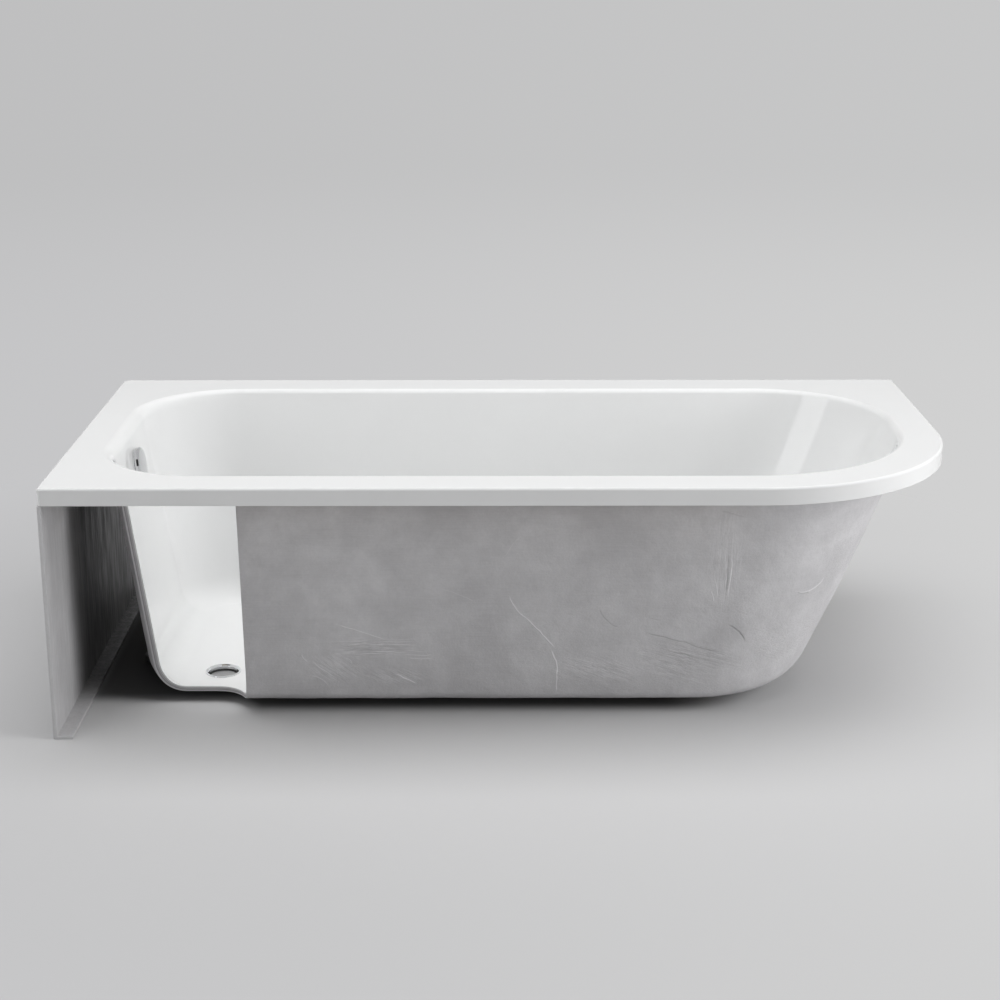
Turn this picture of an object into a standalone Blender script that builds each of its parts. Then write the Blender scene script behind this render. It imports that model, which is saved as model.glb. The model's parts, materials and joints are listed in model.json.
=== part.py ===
"""J-shaped shower bath with one rounded end, cut away at the square end to show its wall.

Metres, +Z up. The origin is the middle of the footprint on the floor, +X points to the rounded
end and +Y to the wall at the back. Depths are measured down from the rim's flat top.
"""
import math
from dataclasses import dataclass

import bmesh
import bpy
from mathutils import Matrix, Vector

MM = 0.001

# Fits shared by every piece
FIT_GAP = 0.3 * MM
CUT_OVERRUN = 6 * MM
HIDDEN_STEPS = 16
SHOWN_STEPS = 32
SHARP_ANGLE = math.radians(35)
QUARTER_TURN = math.pi / 2

# Overall size
BATH_LENGTH = 1700 * MM
BATH_WIDTH = 850 * MM
BATH_HEIGHT = 485 * MM

# Rim
RIM_CORNER_RADIUS = 400 * MM
RIM_SMALL_RADIUS = 9 * MM
RIM_EDGE_FILLET = 5 * MM
RIM_LEFT = 88 * MM
RIM_FRONT = 86 * MM
RIM_RIGHT = 80 * MM
RIM_BACK = 95 * MM
SKIRT_HEIGHT = 33 * MM
SKIRT_THICKNESS = 3 * MM

# Basin: how far each wall runs in from its edge to the floor, and the radii at its two ends
LEFT_RUN = 68 * MM
FRONT_RUN = 56 * MM
RIGHT_RUN = 205 * MM
BACK_RUN = 55 * MM
RIGHT_BULGE = 9 * MM
LEFT_LIP_RADIUS = 24 * MM
LIP_RADIUS = 7 * MM
LEFT_FLOOR_RADIUS = 60 * MM
FRONT_FLOOR_RADIUS = 12 * MM
RIGHT_FLOOR_RADIUS = 100 * MM
BACK_FLOOR_RADIUS = 60 * MM

# Basin corners in plan, at the rim and at the floor
LEFT_CORNER_TOP = 193 * MM
LEFT_CORNER_FLOOR = 108 * MM
FRONT_RIGHT_CORNER_TOP = 330 * MM
FRONT_RIGHT_CORNER_FLOOR = 240 * MM
BACK_RIGHT_CORNER_TOP = 250 * MM
BACK_RIGHT_CORNER_FLOOR = 190 * MM
CORNER_LIMIT_SHARE = 0.49
CORNER_STEPS = (8, 14, 11, 8)
LEAST_RADIUS = 0.5 * MM

# Depths of the rings of a basin surface, as shares of its lip, its wall and its floor radius
LIP_SHARES = (0, 0.012, 0.05, 0.11, 0.2, 0.42, 0.7, 1)
WALL_SHARES = (0.34, 0.67)
FLOOR_SHARES = (0.6, 0.42, 0.27, 0.15, 0.07, 0.02, 0)
PLAIN_LIP_SHARES = (0, 0.11, 0.4, 1)

# Wall build-up
ACRYLIC_THICKNESS = 2.5 * MM
BACKING_THICKNESS = 7 * MM
FLANGE_THICKNESS = 4 * MM
FLANGE_SHORT_OF_SKIRT = 5 * MM

# Cutaway at the square end
WINDOW_RIGHT = 344 * MM
WINDOW_BACK = 181 * MM
WINDOW_CORNER_RADIUS = 62 * MM
WINDOW_TOP = 40 * MM
WINDOW_CORNER_STEPS = 8

# Baseboard and battens
BOARD_THICKNESS = 9 * MM
BOARD_MARGIN = 40 * MM
BOARD_LEFT_MARGIN = 165 * MM
BOARD_RIGHT_MARGIN = 120 * MM
BATTEN_THICKNESS = 18 * MM
BATTEN_WIDTH = 40 * MM
BATTEN_EDGE_MARGIN = 6 * MM

# Levelling feet
FOOT_INSET = 60 * MM
PAD_RADIUS = 25 * MM
PAD_THICKNESS = 6 * MM
PAD_BEVEL = 1.5 * MM
STEM_RADIUS = 4 * MM
STEM_SHORT_OF_BOARD_TOP = 1 * MM
INSERT_WALL = 1.5 * MM
INSERT_FLANGE_RADIUS = 11 * MM
INSERT_FLANGE_THICKNESS = 1.5 * MM
LOCKNUT_RADIUS = 7.5 * MM
LOCKNUT_THICKNESS = 3.2 * MM
NUT_ABOVE_PAD = 0.6 * MM

# End panel
PANEL_THICKNESS = 7 * MM
PANEL_RETURN = 36 * MM
PANEL_RETURN_THICKNESS = 6 * MM

# Panel brackets
BRACKET_COUNT = 3
BRACKET_THICKNESS = 2 * MM
BRACKET_WIDTH = 30 * MM
BRACKET_REACH = 40 * MM
BRACKET_DROP = 32 * MM
BRACKET_SCREW_RADIUS = 2 * MM
BRACKET_SCREW_HEAD_RADIUS = 4.5 * MM
BRACKET_SCREW_HEAD_HEIGHT = 2.5 * MM
BRACKET_SCREW_BITE = 12 * MM

# Waste
WASTE_FROM_LEFT = 281 * MM
WASTE_FROM_FRONT = 258 * MM
WASTE_FLANGE_RADIUS = 35 * MM
WASTE_FLANGE_THICKNESS = 2.5 * MM
WASTE_FLANGE_BEVEL = 1 * MM
WASTE_DISH_RADIUS = 30.5 * MM
WASTE_TAIL_RADIUS = 27 * MM
WASTE_TAIL_WALL = 2 * MM
WASTE_SEAT_DEPTH = 11 * MM
WASTE_SEAT_THICKNESS = 2.5 * MM
WASTE_SEAT_RADIUS = 18.5 * MM
WASTE_BODY_WALL = 6 * MM
WASTE_BODY_CLEARANCE = 2 * MM
WASTE_OUTLET_RADIUS = 20 * MM
WASTE_SHOULDER_THICKNESS = 6.5 * MM
WASTE_GASKET_THICKNESS = 2 * MM
WASTE_GASKET_RADIUS = 33 * MM
GUIDE_WALL = 2.5 * MM
GUIDE_HOLD = 3 * MM
SPIDER_THICKNESS = 3 * MM
SPIDER_WIDTH = 4 * MM
SPIDER_ARMS = 3

# Plug
PLUG_RADIUS = 21.5 * MM
PLUG_THICKNESS = 3 * MM
PLUG_BEVEL = 1 * MM
PLUG_BOSS_RADIUS = 16.5 * MM
PLUG_BOSS_DEPTH = 2.6 * MM
PLUG_STEM_RADIUS = 3 * MM
PLUG_SEAL_THICKNESS = 1.2 * MM
PLUG_SEAL_OVERHANG = 1.5 * MM
PLUG_LIFT = 8 * MM

# Duct between the waste body and the overflow hose
DUCT_WIDTH = 44 * MM
DUCT_WALL = 2.5 * MM
DUCT_BELOW_BODY_TOP = 3.3 * MM
RISER_BEFORE_OVERFLOW = 30 * MM
RISER_CLEARANCE = 2 * MM
RISER_SHORT_OF_FLOOR = 8 * MM

# Overflow
OVERFLOW_DEPTH = 76 * MM
OVERFLOW_HOLE_RADIUS = 23 * MM
KNOB_RADIUS = 35 * MM
KNOB_THICKNESS = 10.4 * MM
KNOB_BEVEL = 2 * MM
KNOB_STANDOFF = 1 * MM
KNOB_SHAFT_RADIUS = 4 * MM
GRATE_RADIUS = 31 * MM
GRATE_THICKNESS = 2.5 * MM
GRATE_HOLES = 6
GRATE_HOLE_RADIUS = 5 * MM
GRATE_HOLE_CIRCLE = 15 * MM
OVERFLOW_GASKET_THICKNESS = 2 * MM
OVERFLOW_BODY_RADIUS = 30 * MM
OVERFLOW_BODY_WALL = 2.5 * MM
OVERFLOW_BODY_DEPTH = 27 * MM

# Hose and its clips
HOSE_RADIUS = 12 * MM
HOSE_WALL = 3 * MM
HOSE_GROOVE = 1.2 * MM
HOSE_RIB_PITCH = 7 * MM
HOSE_SIDES = 8
HOSE_BORE_STEPS = 24
SPIGOT_LENGTH = 14 * MM
SPIGOT_WALL = 1.7 * MM
HOSE_CLEARANCE = 1 * MM
CLIP_WIDTH = 7 * MM
CLIP_THICKNESS = 1.2 * MM

# Pull cable
CABLE_RADIUS = 2.5 * MM
CABLE_SOCKET_RADIUS = 4 * MM
CABLE_SOCKET_LENGTH = 7 * MM
CABLE_BESIDE_HOSE = 19 * MM
CABLE_BEND = 45 * MM
CABLE_SPAN_STEPS = 5
CABLE_SIDES = 8

# Values that follow from the sizes above
LEFT_EDGE = -BATH_LENGTH / 2
RIGHT_EDGE = BATH_LENGTH / 2
FRONT_EDGE = -BATH_WIDTH / 2
BACK_EDGE = BATH_WIDTH / 2
BACKING_INSIDE = ACRYLIC_THICKNESS + FIT_GAP
BACKING_OUTSIDE = BACKING_INSIDE + BACKING_THICKNESS
UNDERSIDE = (PAD_THICKNESS + NUT_ABOVE_PAD + LOCKNUT_THICKNESS + FIT_GAP
             + INSERT_FLANGE_THICKNESS + FIT_GAP + BOARD_THICKNESS + FIT_GAP)
BASIN_FLOOR = UNDERSIDE + BACKING_OUTSIDE
BASIN_DEPTH = BATH_HEIGHT - BASIN_FLOOR
WASTE_CENTRE = Vector((LEFT_EDGE + WASTE_FROM_LEFT, FRONT_EDGE + WASTE_FROM_FRONT, 0))
OVERFLOW_GASKET_FRONT = -BACKING_OUTSIDE - FIT_GAP
OVERFLOW_BODY_FRONT = OVERFLOW_GASKET_FRONT - OVERFLOW_GASKET_THICKNESS - FIT_GAP
HOSE_STANDOFF = HOSE_CLEARANCE + HOSE_RADIUS - OVERFLOW_BODY_FRONT


@dataclass(frozen=True)
class Finish:
    """Colour, roughness and metallic value of one material."""
    colour: tuple
    roughness: float
    metallic: float = 0.0


ACRYLIC = Finish((0.80, 0.81, 0.81), 0.12)
BACKING = Finish((0.27, 0.265, 0.275), 0.62)
BOARD = Finish((0.42, 0.31, 0.19), 0.80)
PANEL = Finish((0.27, 0.265, 0.275), 0.45)
CHROME = Finish((0.78, 0.79, 0.80), 0.08, 1.0)
STEEL = Finish((0.52, 0.53, 0.54), 0.35, 1.0)
PLASTIC = Finish((0.05, 0.05, 0.05), 0.50)
RUBBER = Finish((0.03, 0.03, 0.03), 0.80)
HOSE = Finish((0.30, 0.30, 0.31), 0.55)


@dataclass(frozen=True)
class Wall:
    """One wall of the basin: its run, bulge, lip radius and floor radius."""
    run: float
    lip: float
    floor: float
    bulge: float = 0.0


LEFT_WALL = Wall(LEFT_RUN, LEFT_LIP_RADIUS, LEFT_FLOOR_RADIUS)
FRONT_WALL = Wall(FRONT_RUN, LIP_RADIUS, FRONT_FLOOR_RADIUS)
RIGHT_WALL = Wall(RIGHT_RUN, LIP_RADIUS, RIGHT_FLOOR_RADIUS, RIGHT_BULGE)
BACK_WALL = Wall(BACK_RUN, LIP_RADIUS, BACK_FLOOR_RADIUS)
WALLS = (LEFT_WALL, FRONT_WALL, RIGHT_WALL, BACK_WALL)


def clear_scene():
    """Remove every object from the scene."""
    for item in list(bpy.data.objects):
        bpy.data.objects.remove(item)


def add_object(name, mesh_data):
    """Put a new object with this data into the scene."""
    item = bpy.data.objects.new(name, mesh_data)
    bpy.context.collection.objects.link(item)
    return item


def dress(item, finish):
    """Give the object a material of its own."""
    material = bpy.data.materials.new(item.name + "_finish")
    material.use_nodes = True
    shader = material.node_tree.nodes["Principled BSDF"]
    shader.inputs["Base Color"].default_value = (*finish.colour, 1)
    shader.inputs["Roughness"].default_value = finish.roughness
    shader.inputs["Metallic"].default_value = finish.metallic
    item.data.materials.append(material)
    return item


def solid_from(bm, name, finish=None):
    """Turn a closed bmesh into a smooth-shaded object."""
    bmesh.ops.recalc_face_normals(bm, faces=bm.faces)
    mesh = bpy.data.meshes.new(name)
    bm.to_mesh(mesh)
    bm.free()
    mesh.shade_smooth()
    mesh.set_sharp_from_angle(angle=SHARP_ANGLE)
    item = add_object(name, mesh)
    return dress(item, finish) if finish else item


def hide_tool(item):
    """Mark an object as a cutter or a guide."""
    item.hide_render = True
    item.display_type = "WIRE"
    return item


def boolean(item, tool, operation="DIFFERENCE"):
    """Cut or join a tool object with the exact solver."""
    modifier = item.modifiers.new(tool.name, "BOOLEAN")
    modifier.operation = operation
    modifier.solver = "EXACT"
    modifier.object = hide_tool(tool)
    return item


def add_turned(bm, profile, steps, closed, place=Matrix()):
    """Spin a profile of (radius, height) points about Z and put the result at a place."""
    points = [bm.verts.new((radius, 0, height)) for radius, height in profile]
    pairs = list(zip(points, points[1:]))
    if closed:
        pairs.append((points[-1], points[0]))
    edges = [bm.edges.new(pair) for pair in pairs]
    before = {vert for vert in bm.verts if vert not in points}
    bmesh.ops.spin(bm, geom=points + edges, cent=(0, 0, 0), axis=(0, 0, 1), angle=math.tau,
                   steps=steps, use_merge=True)
    fresh = [vert for vert in bm.verts if vert not in before]
    bmesh.ops.remove_doubles(bm, verts=fresh, dist=LEAST_RADIUS / steps)
    fresh = [vert for vert in bm.verts if vert not in before]
    bmesh.ops.transform(bm, matrix=place, verts=fresh)


def turned(name, profile, finish=None, steps=HIDDEN_STEPS, closed=False):
    """One turned piece. A closed profile stays off the axis, an open one starts and ends on it."""
    bm = bmesh.new()
    add_turned(bm, profile, steps, closed)
    return solid_from(bm, name, finish)


def rod_profile(radius, low, high):
    """Profile of a plain round bar."""
    return [(0, low), (radius, low), (radius, high), (0, high)]


def ring_profile(inner, outer, low, high):
    """Profile of a plain ring."""
    return [(inner, low), (outer, low), (outer, high), (inner, high)]


def add_box(bm, low, high):
    """Add a box between two corners."""
    size = Vector(high) - Vector(low)
    middle = (Vector(high) + Vector(low)) / 2
    place = Matrix.Translation(middle) @ Matrix.Diagonal((*size, 1))
    bmesh.ops.create_cube(bm, size=1, matrix=place)


def box(name, low, high, finish=None):
    """One box-shaped piece."""
    bm = bmesh.new()
    add_box(bm, low, high)
    return solid_from(bm, name, finish)


def add_prism(bm, outline, start, end):
    """Extrude an outline of points by the vector from start to end."""
    face = bm.faces.new([bm.verts.new(Vector(point) + start) for point in outline])
    result = bmesh.ops.extrude_face_region(bm, geom=[face])
    moved = [piece for piece in result["geom"] if isinstance(piece, bmesh.types.BMVert)]
    bmesh.ops.translate(bm, verts=moved, vec=end - start)


def add_tube(bm, points, radii, sides):
    """Sweep a round section along points, carrying the section without twist."""
    rings = []
    side = None
    for index, (point, radius) in enumerate(zip(points, radii)):
        after = points[min(index + 1, len(points) - 1)]
        ahead = (after - points[max(index - 1, 0)]).normalized()
        start = side if side else Vector((0, 1, 0))
        side = (start - ahead * start.dot(ahead)).normalized()
        up = ahead.cross(side)
        angles = [math.tau * step / sides for step in range(sides)]
        rings.append([bm.verts.new(point + radius * (side * math.cos(a) + up * math.sin(a)))
                      for a in angles])
    for near, far in zip(rings, rings[1:]):
        for step in range(sides):
            following = (step + 1) % sides
            bm.faces.new((near[step], near[following], far[following], far[step]))
    bm.faces.new(rings[0])
    bm.faces.new(rings[-1])


# Basin surfaces

def wall_slope(wall, depth):
    """Run per depth of a wall at one depth."""
    return (wall.run + 4 * wall.bulge * (2 * depth / BASIN_DEPTH - 1)) / BASIN_DEPTH


def wall_line(wall, depth, offset):
    """Inset of a wall's surface, without its lip and floor radii."""
    share = depth / BASIN_DEPTH
    inset = wall.run * share - 4 * wall.bulge * share * (1 - share)
    return inset - offset * math.hypot(1, wall_slope(wall, depth))


def wall_inset(wall, depth, offset):
    """Inset from the basin's edge of the surface that lies an offset outside its inner face."""
    lip = max(wall.lip - offset, LEAST_RADIUS)
    tilt = math.atan(wall_slope(wall, offset))
    lip_end = offset + lip * (1 - math.sin(tilt))
    if depth < lip_end:
        centre = wall_line(wall, lip_end, offset) - lip * math.cos(tilt)
        rise = offset + lip - depth
        return centre + math.sqrt(max(lip ** 2 - rise ** 2, 0))
    radius = wall.floor + offset
    tilt = math.atan(wall_slope(wall, BASIN_DEPTH))
    centre_depth = BASIN_DEPTH - wall.floor
    arc_start = centre_depth + radius * math.sin(tilt)
    if depth > arc_start:
        centre = wall_line(wall, arc_start, offset) + radius * math.cos(tilt)
        return centre - math.sqrt(max(radius ** 2 - (depth - centre_depth) ** 2, 0))
    return wall_line(wall, depth, offset)


def plan_ring(left, front, right, back, radii, height):
    """Closed loop round a rectangle with four corner radii, from the front left corner."""
    limit = CORNER_LIMIT_SHARE * min(right - left, 2 * (back - front))
    front_left, front_right, back_right, back_left = [min(radius, limit) for radius in radii]
    centres = (
        (left + front_left, front + front_left, front_left, 2 * QUARTER_TURN),
        (right - front_right, front + front_right, front_right, 3 * QUARTER_TURN),
        (right - back_right, back - back_right, back_right, 0),
        (left + back_left, back - back_left, back_left, QUARTER_TURN))
    points = []
    for (x, y, radius, start), steps in zip(centres, CORNER_STEPS):
        for step in range(steps + 1):
            angle = start + QUARTER_TURN * step / steps
            points.append(Vector((x + radius * math.cos(angle), y + radius * math.sin(angle),
                                  height)))
    return points


def rim_ring(inset, depth):
    """Loop that follows the rim's outside at an inset."""
    small = RIM_SMALL_RADIUS - inset
    radii = (max(small, LEAST_RADIUS), RIM_CORNER_RADIUS - inset,
             max(small, LEAST_RADIUS), max(small, LEAST_RADIUS))
    return plan_ring(LEFT_EDGE + inset, FRONT_EDGE + inset, RIGHT_EDGE - inset,
                     BACK_EDGE - inset, radii, BATH_HEIGHT - depth)


def basin_ring(depth, offset):
    """Loop round the basin at one depth, an offset outside its inner face."""
    insets = [wall_inset(wall, depth, offset) for wall in WALLS]
    left, front, right, back = insets
    excess = [inset - wall_line(wall, depth, 0) for inset, wall in zip(insets, WALLS)]
    left_more, front_more, right_more, back_more = excess
    share = depth / BASIN_DEPTH
    corners = (
        (LEFT_CORNER_TOP, LEFT_CORNER_FLOOR, left_more, front_more),
        (FRONT_RIGHT_CORNER_TOP, FRONT_RIGHT_CORNER_FLOOR, front_more, right_more),
        (BACK_RIGHT_CORNER_TOP, BACK_RIGHT_CORNER_FLOOR, right_more, back_more),
        (LEFT_CORNER_TOP, LEFT_CORNER_FLOOR, back_more, left_more))
    radii = [max(top + (floor - top) * share - (one + other) / 2, LEAST_RADIUS)
             for top, floor, one, other in corners]
    return plan_ring(LEFT_EDGE + RIM_LEFT + left, FRONT_EDGE + RIM_FRONT + front,
                     RIGHT_EDGE - RIM_RIGHT - right, BACK_EDGE - RIM_BACK - back,
                     radii, BATH_HEIGHT - depth)


def basin_depths(offset, lip_shares):
    """Depths of the rings of one basin surface, from the rim down."""
    lip_end = offset + max(wall.lip for wall in WALLS) - min(offset, LIP_RADIUS)
    floor_depth = BASIN_DEPTH + offset
    floor_zone = max(wall.floor for wall in WALLS) + offset
    lips = [offset + (lip_end - offset) * share for share in lip_shares]
    floors = [floor_depth - floor_zone * share for share in FLOOR_SHARES]
    walls = [lip_end + (floors[0] - lip_end) * share for share in WALL_SHARES]
    return lips + walls + floors


def shell_from_rings(name, rings, finish):
    """Close a run of rings into one body, with a face at each end."""
    bm = bmesh.new()
    loops = [[bm.verts.new(point) for point in ring] for ring in rings]
    count = len(loops[0])
    for near, far in zip(loops, loops[1:]):
        for step in range(count):
            following = (step + 1) % count
            bm.faces.new((near[step], near[following], far[following], far[step]))
    bm.faces.new(loops[0])
    bm.faces.new(loops[-1])
    return solid_from(bm, name, finish)


def window_cutter(name):
    """Cutter of the cutaway: all that lies left of and in front of its edge, below the rim."""
    outer_x = LEFT_EDGE - CUT_OVERRUN
    outer_y = FRONT_EDGE - CUT_OVERRUN
    right = LEFT_EDGE + WINDOW_RIGHT
    back = FRONT_EDGE + WINDOW_BACK
    radius = WINDOW_CORNER_RADIUS
    outline = [(outer_x, outer_y, 0), (right, outer_y, 0)]
    for step in range(WINDOW_CORNER_STEPS + 1):
        angle = QUARTER_TURN * step / WINDOW_CORNER_STEPS
        outline.append((right - radius + radius * math.cos(angle),
                        back - radius + radius * math.sin(angle), 0))
    outline.append((outer_x, back, 0))
    bm = bmesh.new()
    top = Vector((0, 0, BATH_HEIGHT - WINDOW_TOP))
    add_prism(bm, outline, Vector((0, 0, -CUT_OVERRUN)), top)
    return solid_from(bm, name)


def overflow_matrix():
    """Frame of the overflow: Z into the basin, X down along the end wall."""
    tilt = math.atan(wall_slope(LEFT_WALL, OVERFLOW_DEPTH))
    x = LEFT_EDGE + RIM_LEFT + wall_inset(LEFT_WALL, OVERFLOW_DEPTH, 0)
    place = Matrix.Translation((x, 0, BATH_HEIGHT - OVERFLOW_DEPTH))
    return place @ Matrix.Rotation(QUARTER_TURN - tilt, 4, "Y")


OVERFLOW_FRAME = overflow_matrix()


def cut_shell(shell):
    """Cut the window, the overflow hole and the waste hole."""
    boolean(shell, window_cutter(shell.name + "_window_cutter"))
    reach = BACKING_OUTSIDE + CUT_OVERRUN
    hole = turned(shell.name + "_overflow_cutter",
                  rod_profile(OVERFLOW_HOLE_RADIUS, -reach, CUT_OVERRUN))
    hole.matrix_world = OVERFLOW_FRAME
    boolean(shell, hole)
    drain = turned(shell.name + "_waste_cutter",
                   rod_profile(WASTE_TAIL_RADIUS + FIT_GAP, UNDERSIDE - CUT_OVERRUN,
                               BASIN_FLOOR + CUT_OVERRUN), steps=SHOWN_STEPS)
    drain.location = WASTE_CENTRE
    boolean(shell, drain)


def build_acrylic_shell():
    """White sheet of the rim, the skirt and the basin."""
    inner = [basin_ring(depth, 0) for depth in basin_depths(0, LIP_SHARES)]
    fillet = RIM_EDGE_FILLET
    corner = fillet * (1 - math.sin(QUARTER_TURN / 2))
    rim = [rim_ring(fillet, 0), rim_ring(corner, corner), rim_ring(0, fillet),
           rim_ring(0, SKIRT_HEIGHT), rim_ring(SKIRT_THICKNESS, SKIRT_HEIGHT),
           rim_ring(SKIRT_THICKNESS, ACRYLIC_THICKNESS)]
    outer = [basin_ring(depth, ACRYLIC_THICKNESS)
             for depth in basin_depths(ACRYLIC_THICKNESS, PLAIN_LIP_SHARES)]
    shell = shell_from_rings("acrylic_shell", inner[::-1] + rim + outer, ACRYLIC)
    cut_shell(shell)


def build_reinforcement_shell():
    """Grey backing under the rim, behind the skirt and round the basin."""
    inset = SKIRT_THICKNESS + FIT_GAP
    flange_end = SKIRT_HEIGHT - FLANGE_SHORT_OF_SKIRT
    inner = [basin_ring(depth, BACKING_INSIDE)
             for depth in basin_depths(BACKING_INSIDE, PLAIN_LIP_SHARES)]
    rim = [rim_ring(inset, BACKING_INSIDE), rim_ring(inset, flange_end),
           rim_ring(inset + FLANGE_THICKNESS, flange_end),
           rim_ring(inset + FLANGE_THICKNESS, BACKING_OUTSIDE)]
    outer = [basin_ring(depth, BACKING_OUTSIDE)
             for depth in basin_depths(BACKING_OUTSIDE, PLAIN_LIP_SHARES)]
    shell = shell_from_rings("reinforcement_shell", inner[::-1] + rim + outer, BACKING)
    cut_shell(shell)


# Boards under the tub

def flat_floor():
    """Left, front, right and back limits of the flat of the tub's underside."""
    ring = basin_ring(BASIN_DEPTH + BACKING_OUTSIDE, BACKING_OUTSIDE)
    xs = [point.x for point in ring]
    ys = [point.y for point in ring]
    return min(xs), min(ys), max(xs), max(ys)


def board_limits():
    """Left, front, right and back limits of the baseboard."""
    left, front, right, back = flat_floor()
    return (left + BOARD_LEFT_MARGIN, front + BOARD_MARGIN, right - BOARD_RIGHT_MARGIN,
            back - BOARD_MARGIN)


def foot_places():
    """Middles of the five feet: four corners and the middle of the board."""
    left, front, right, back = board_limits()
    xs = (left + FOOT_INSET, right - FOOT_INSET)
    ys = (front + FOOT_INSET, back - FOOT_INSET)
    corners = [(x, y) for x in xs for y in ys]
    return corners + [((left + right) / 2, (front + back) / 2)]


def hole_cutter(name, profile, places):
    """Cutter for equal round holes at several places."""
    bm = bmesh.new()
    for x, y in places:
        add_turned(bm, profile, HIDDEN_STEPS, False, Matrix.Translation((x, y, 0)))
    return solid_from(bm, name)


def turned_row(name, profile, places, finish, closed):
    """Equal turned pieces, one object at each place, which share their mesh."""
    first = turned(name + "_1", profile, finish, closed=closed)
    items = [first] + [add_object(name + "_" + str(number), first.data)
                       for number in range(2, len(places) + 1)]
    for item, (x, y) in zip(items, places):
        item.location = (x, y, 0)
    return items


BOARD_TOP = UNDERSIDE - FIT_GAP
BOARD_BOTTOM = BOARD_TOP - BOARD_THICKNESS
INSERT_RADIUS = STEM_RADIUS + FIT_GAP + INSERT_WALL


def build_baseboard():
    """Board under the floor, bored for the threaded inserts."""
    left, front, right, back = board_limits()
    board = box("baseboard", (left, front, BOARD_BOTTOM), (right, back, BOARD_TOP), BOARD)
    holes = rod_profile(INSERT_RADIUS + FIT_GAP, BOARD_BOTTOM - CUT_OVERRUN,
                        BOARD_TOP + CUT_OVERRUN)
    boolean(board, hole_cutter("baseboard_hole_cutter", holes, foot_places()))


def build_foot_hardware():
    """Threaded inserts, lock nuts and the five levelling feet."""
    bore = STEM_RADIUS + FIT_GAP
    flange_top = BOARD_BOTTOM - FIT_GAP
    flange_bottom = flange_top - INSERT_FLANGE_THICKNESS
    insert = [(bore, flange_bottom), (INSERT_FLANGE_RADIUS, flange_bottom),
              (INSERT_FLANGE_RADIUS, flange_top), (INSERT_RADIUS, flange_top),
              (INSERT_RADIUS, BOARD_TOP - FIT_GAP), (bore, BOARD_TOP - FIT_GAP)]
    turned_row("foot_insert", insert, foot_places(), STEEL, True)
    nut_top = flange_bottom - FIT_GAP
    nut = ring_profile(bore, LOCKNUT_RADIUS, nut_top - LOCKNUT_THICKNESS, nut_top)
    turned_row("foot_locknut", nut, foot_places(), STEEL, True)
    stem_top = BOARD_TOP - STEM_SHORT_OF_BOARD_TOP
    foot = [(0, 0), (PAD_RADIUS - PAD_BEVEL, 0), (PAD_RADIUS, PAD_BEVEL),
            (PAD_RADIUS, PAD_THICKNESS - PAD_BEVEL), (PAD_RADIUS - PAD_BEVEL, PAD_THICKNESS),
            (STEM_RADIUS, PAD_THICKNESS), (STEM_RADIUS, stem_top), (0, stem_top)]
    turned_row("levelling_foot", foot, foot_places(), PLASTIC, False)


BATTEN_TOP = BATH_HEIGHT - BACKING_OUTSIDE - FIT_GAP
BATTEN_BOTTOM = BATTEN_TOP - BATTEN_THICKNESS
BATTEN_INSET = SKIRT_THICKNESS + FIT_GAP + FLANGE_THICKNESS + BATTEN_EDGE_MARGIN


def bracket_rows():
    """Y of each panel bracket, spread along the left batten."""
    start = FRONT_EDGE + LEFT_CORNER_TOP
    end = BACK_EDGE - LEFT_CORNER_TOP
    return [start + (end - start) * row / (BRACKET_COUNT - 1) for row in range(BRACKET_COUNT)]


def bracket_screw_x():
    """X of the bracket screws: the middle of the left batten."""
    return LEFT_EDGE + BATTEN_INSET + BATTEN_WIDTH / 2


def build_battens():
    """Wooden strips bonded under the rim."""
    near = BATTEN_INSET
    far = near + BATTEN_WIDTH
    end = LEFT_CORNER_TOP / 2
    spans = {
        "front_batten": ((LEFT_EDGE + RIM_LEFT, FRONT_EDGE + near),
                         (RIGHT_EDGE - RIM_CORNER_RADIUS, FRONT_EDGE + far)),
        "back_batten": ((LEFT_EDGE + RIM_LEFT, BACK_EDGE - far),
                        (RIGHT_EDGE - RIM_LEFT, BACK_EDGE - near)),
        "left_batten": ((LEFT_EDGE + near, FRONT_EDGE + end),
                        (LEFT_EDGE + far, BACK_EDGE - end)),
        "right_batten": ((RIGHT_EDGE - far, FRONT_EDGE + RIM_CORNER_RADIUS),
                         (RIGHT_EDGE - near, BACK_EDGE - end))}
    battens = {name: box(name, (*low, BATTEN_BOTTOM), (*high, BATTEN_TOP), BOARD)
               for name, (low, high) in spans.items()}
    holes = rod_profile(BRACKET_SCREW_RADIUS + FIT_GAP, BATTEN_BOTTOM - CUT_OVERRUN,
                        BATTEN_BOTTOM + BRACKET_SCREW_BITE + FIT_GAP)
    places = [(bracket_screw_x(), y) for y in bracket_rows()]
    boolean(battens["left_batten"], hole_cutter("left_batten_hole_cutter", holes, places))


def build_end_panel():
    """Grey end panel under the skirt, turned in along its bottom."""
    height = BATH_HEIGHT - SKIRT_HEIGHT - FIT_GAP
    outline = [(0, 0, 0), (PANEL_RETURN, 0, 0), (PANEL_RETURN, 0, PANEL_RETURN_THICKNESS),
               (PANEL_THICKNESS, 0, PANEL_RETURN_THICKNESS), (PANEL_THICKNESS, 0, height),
               (0, 0, height)]
    bm = bmesh.new()
    add_prism(bm, outline, Vector((LEFT_EDGE, FRONT_EDGE, 0)), Vector((LEFT_EDGE, BACK_EDGE, 0)))
    solid_from(bm, "end_panel", PANEL)


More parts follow.
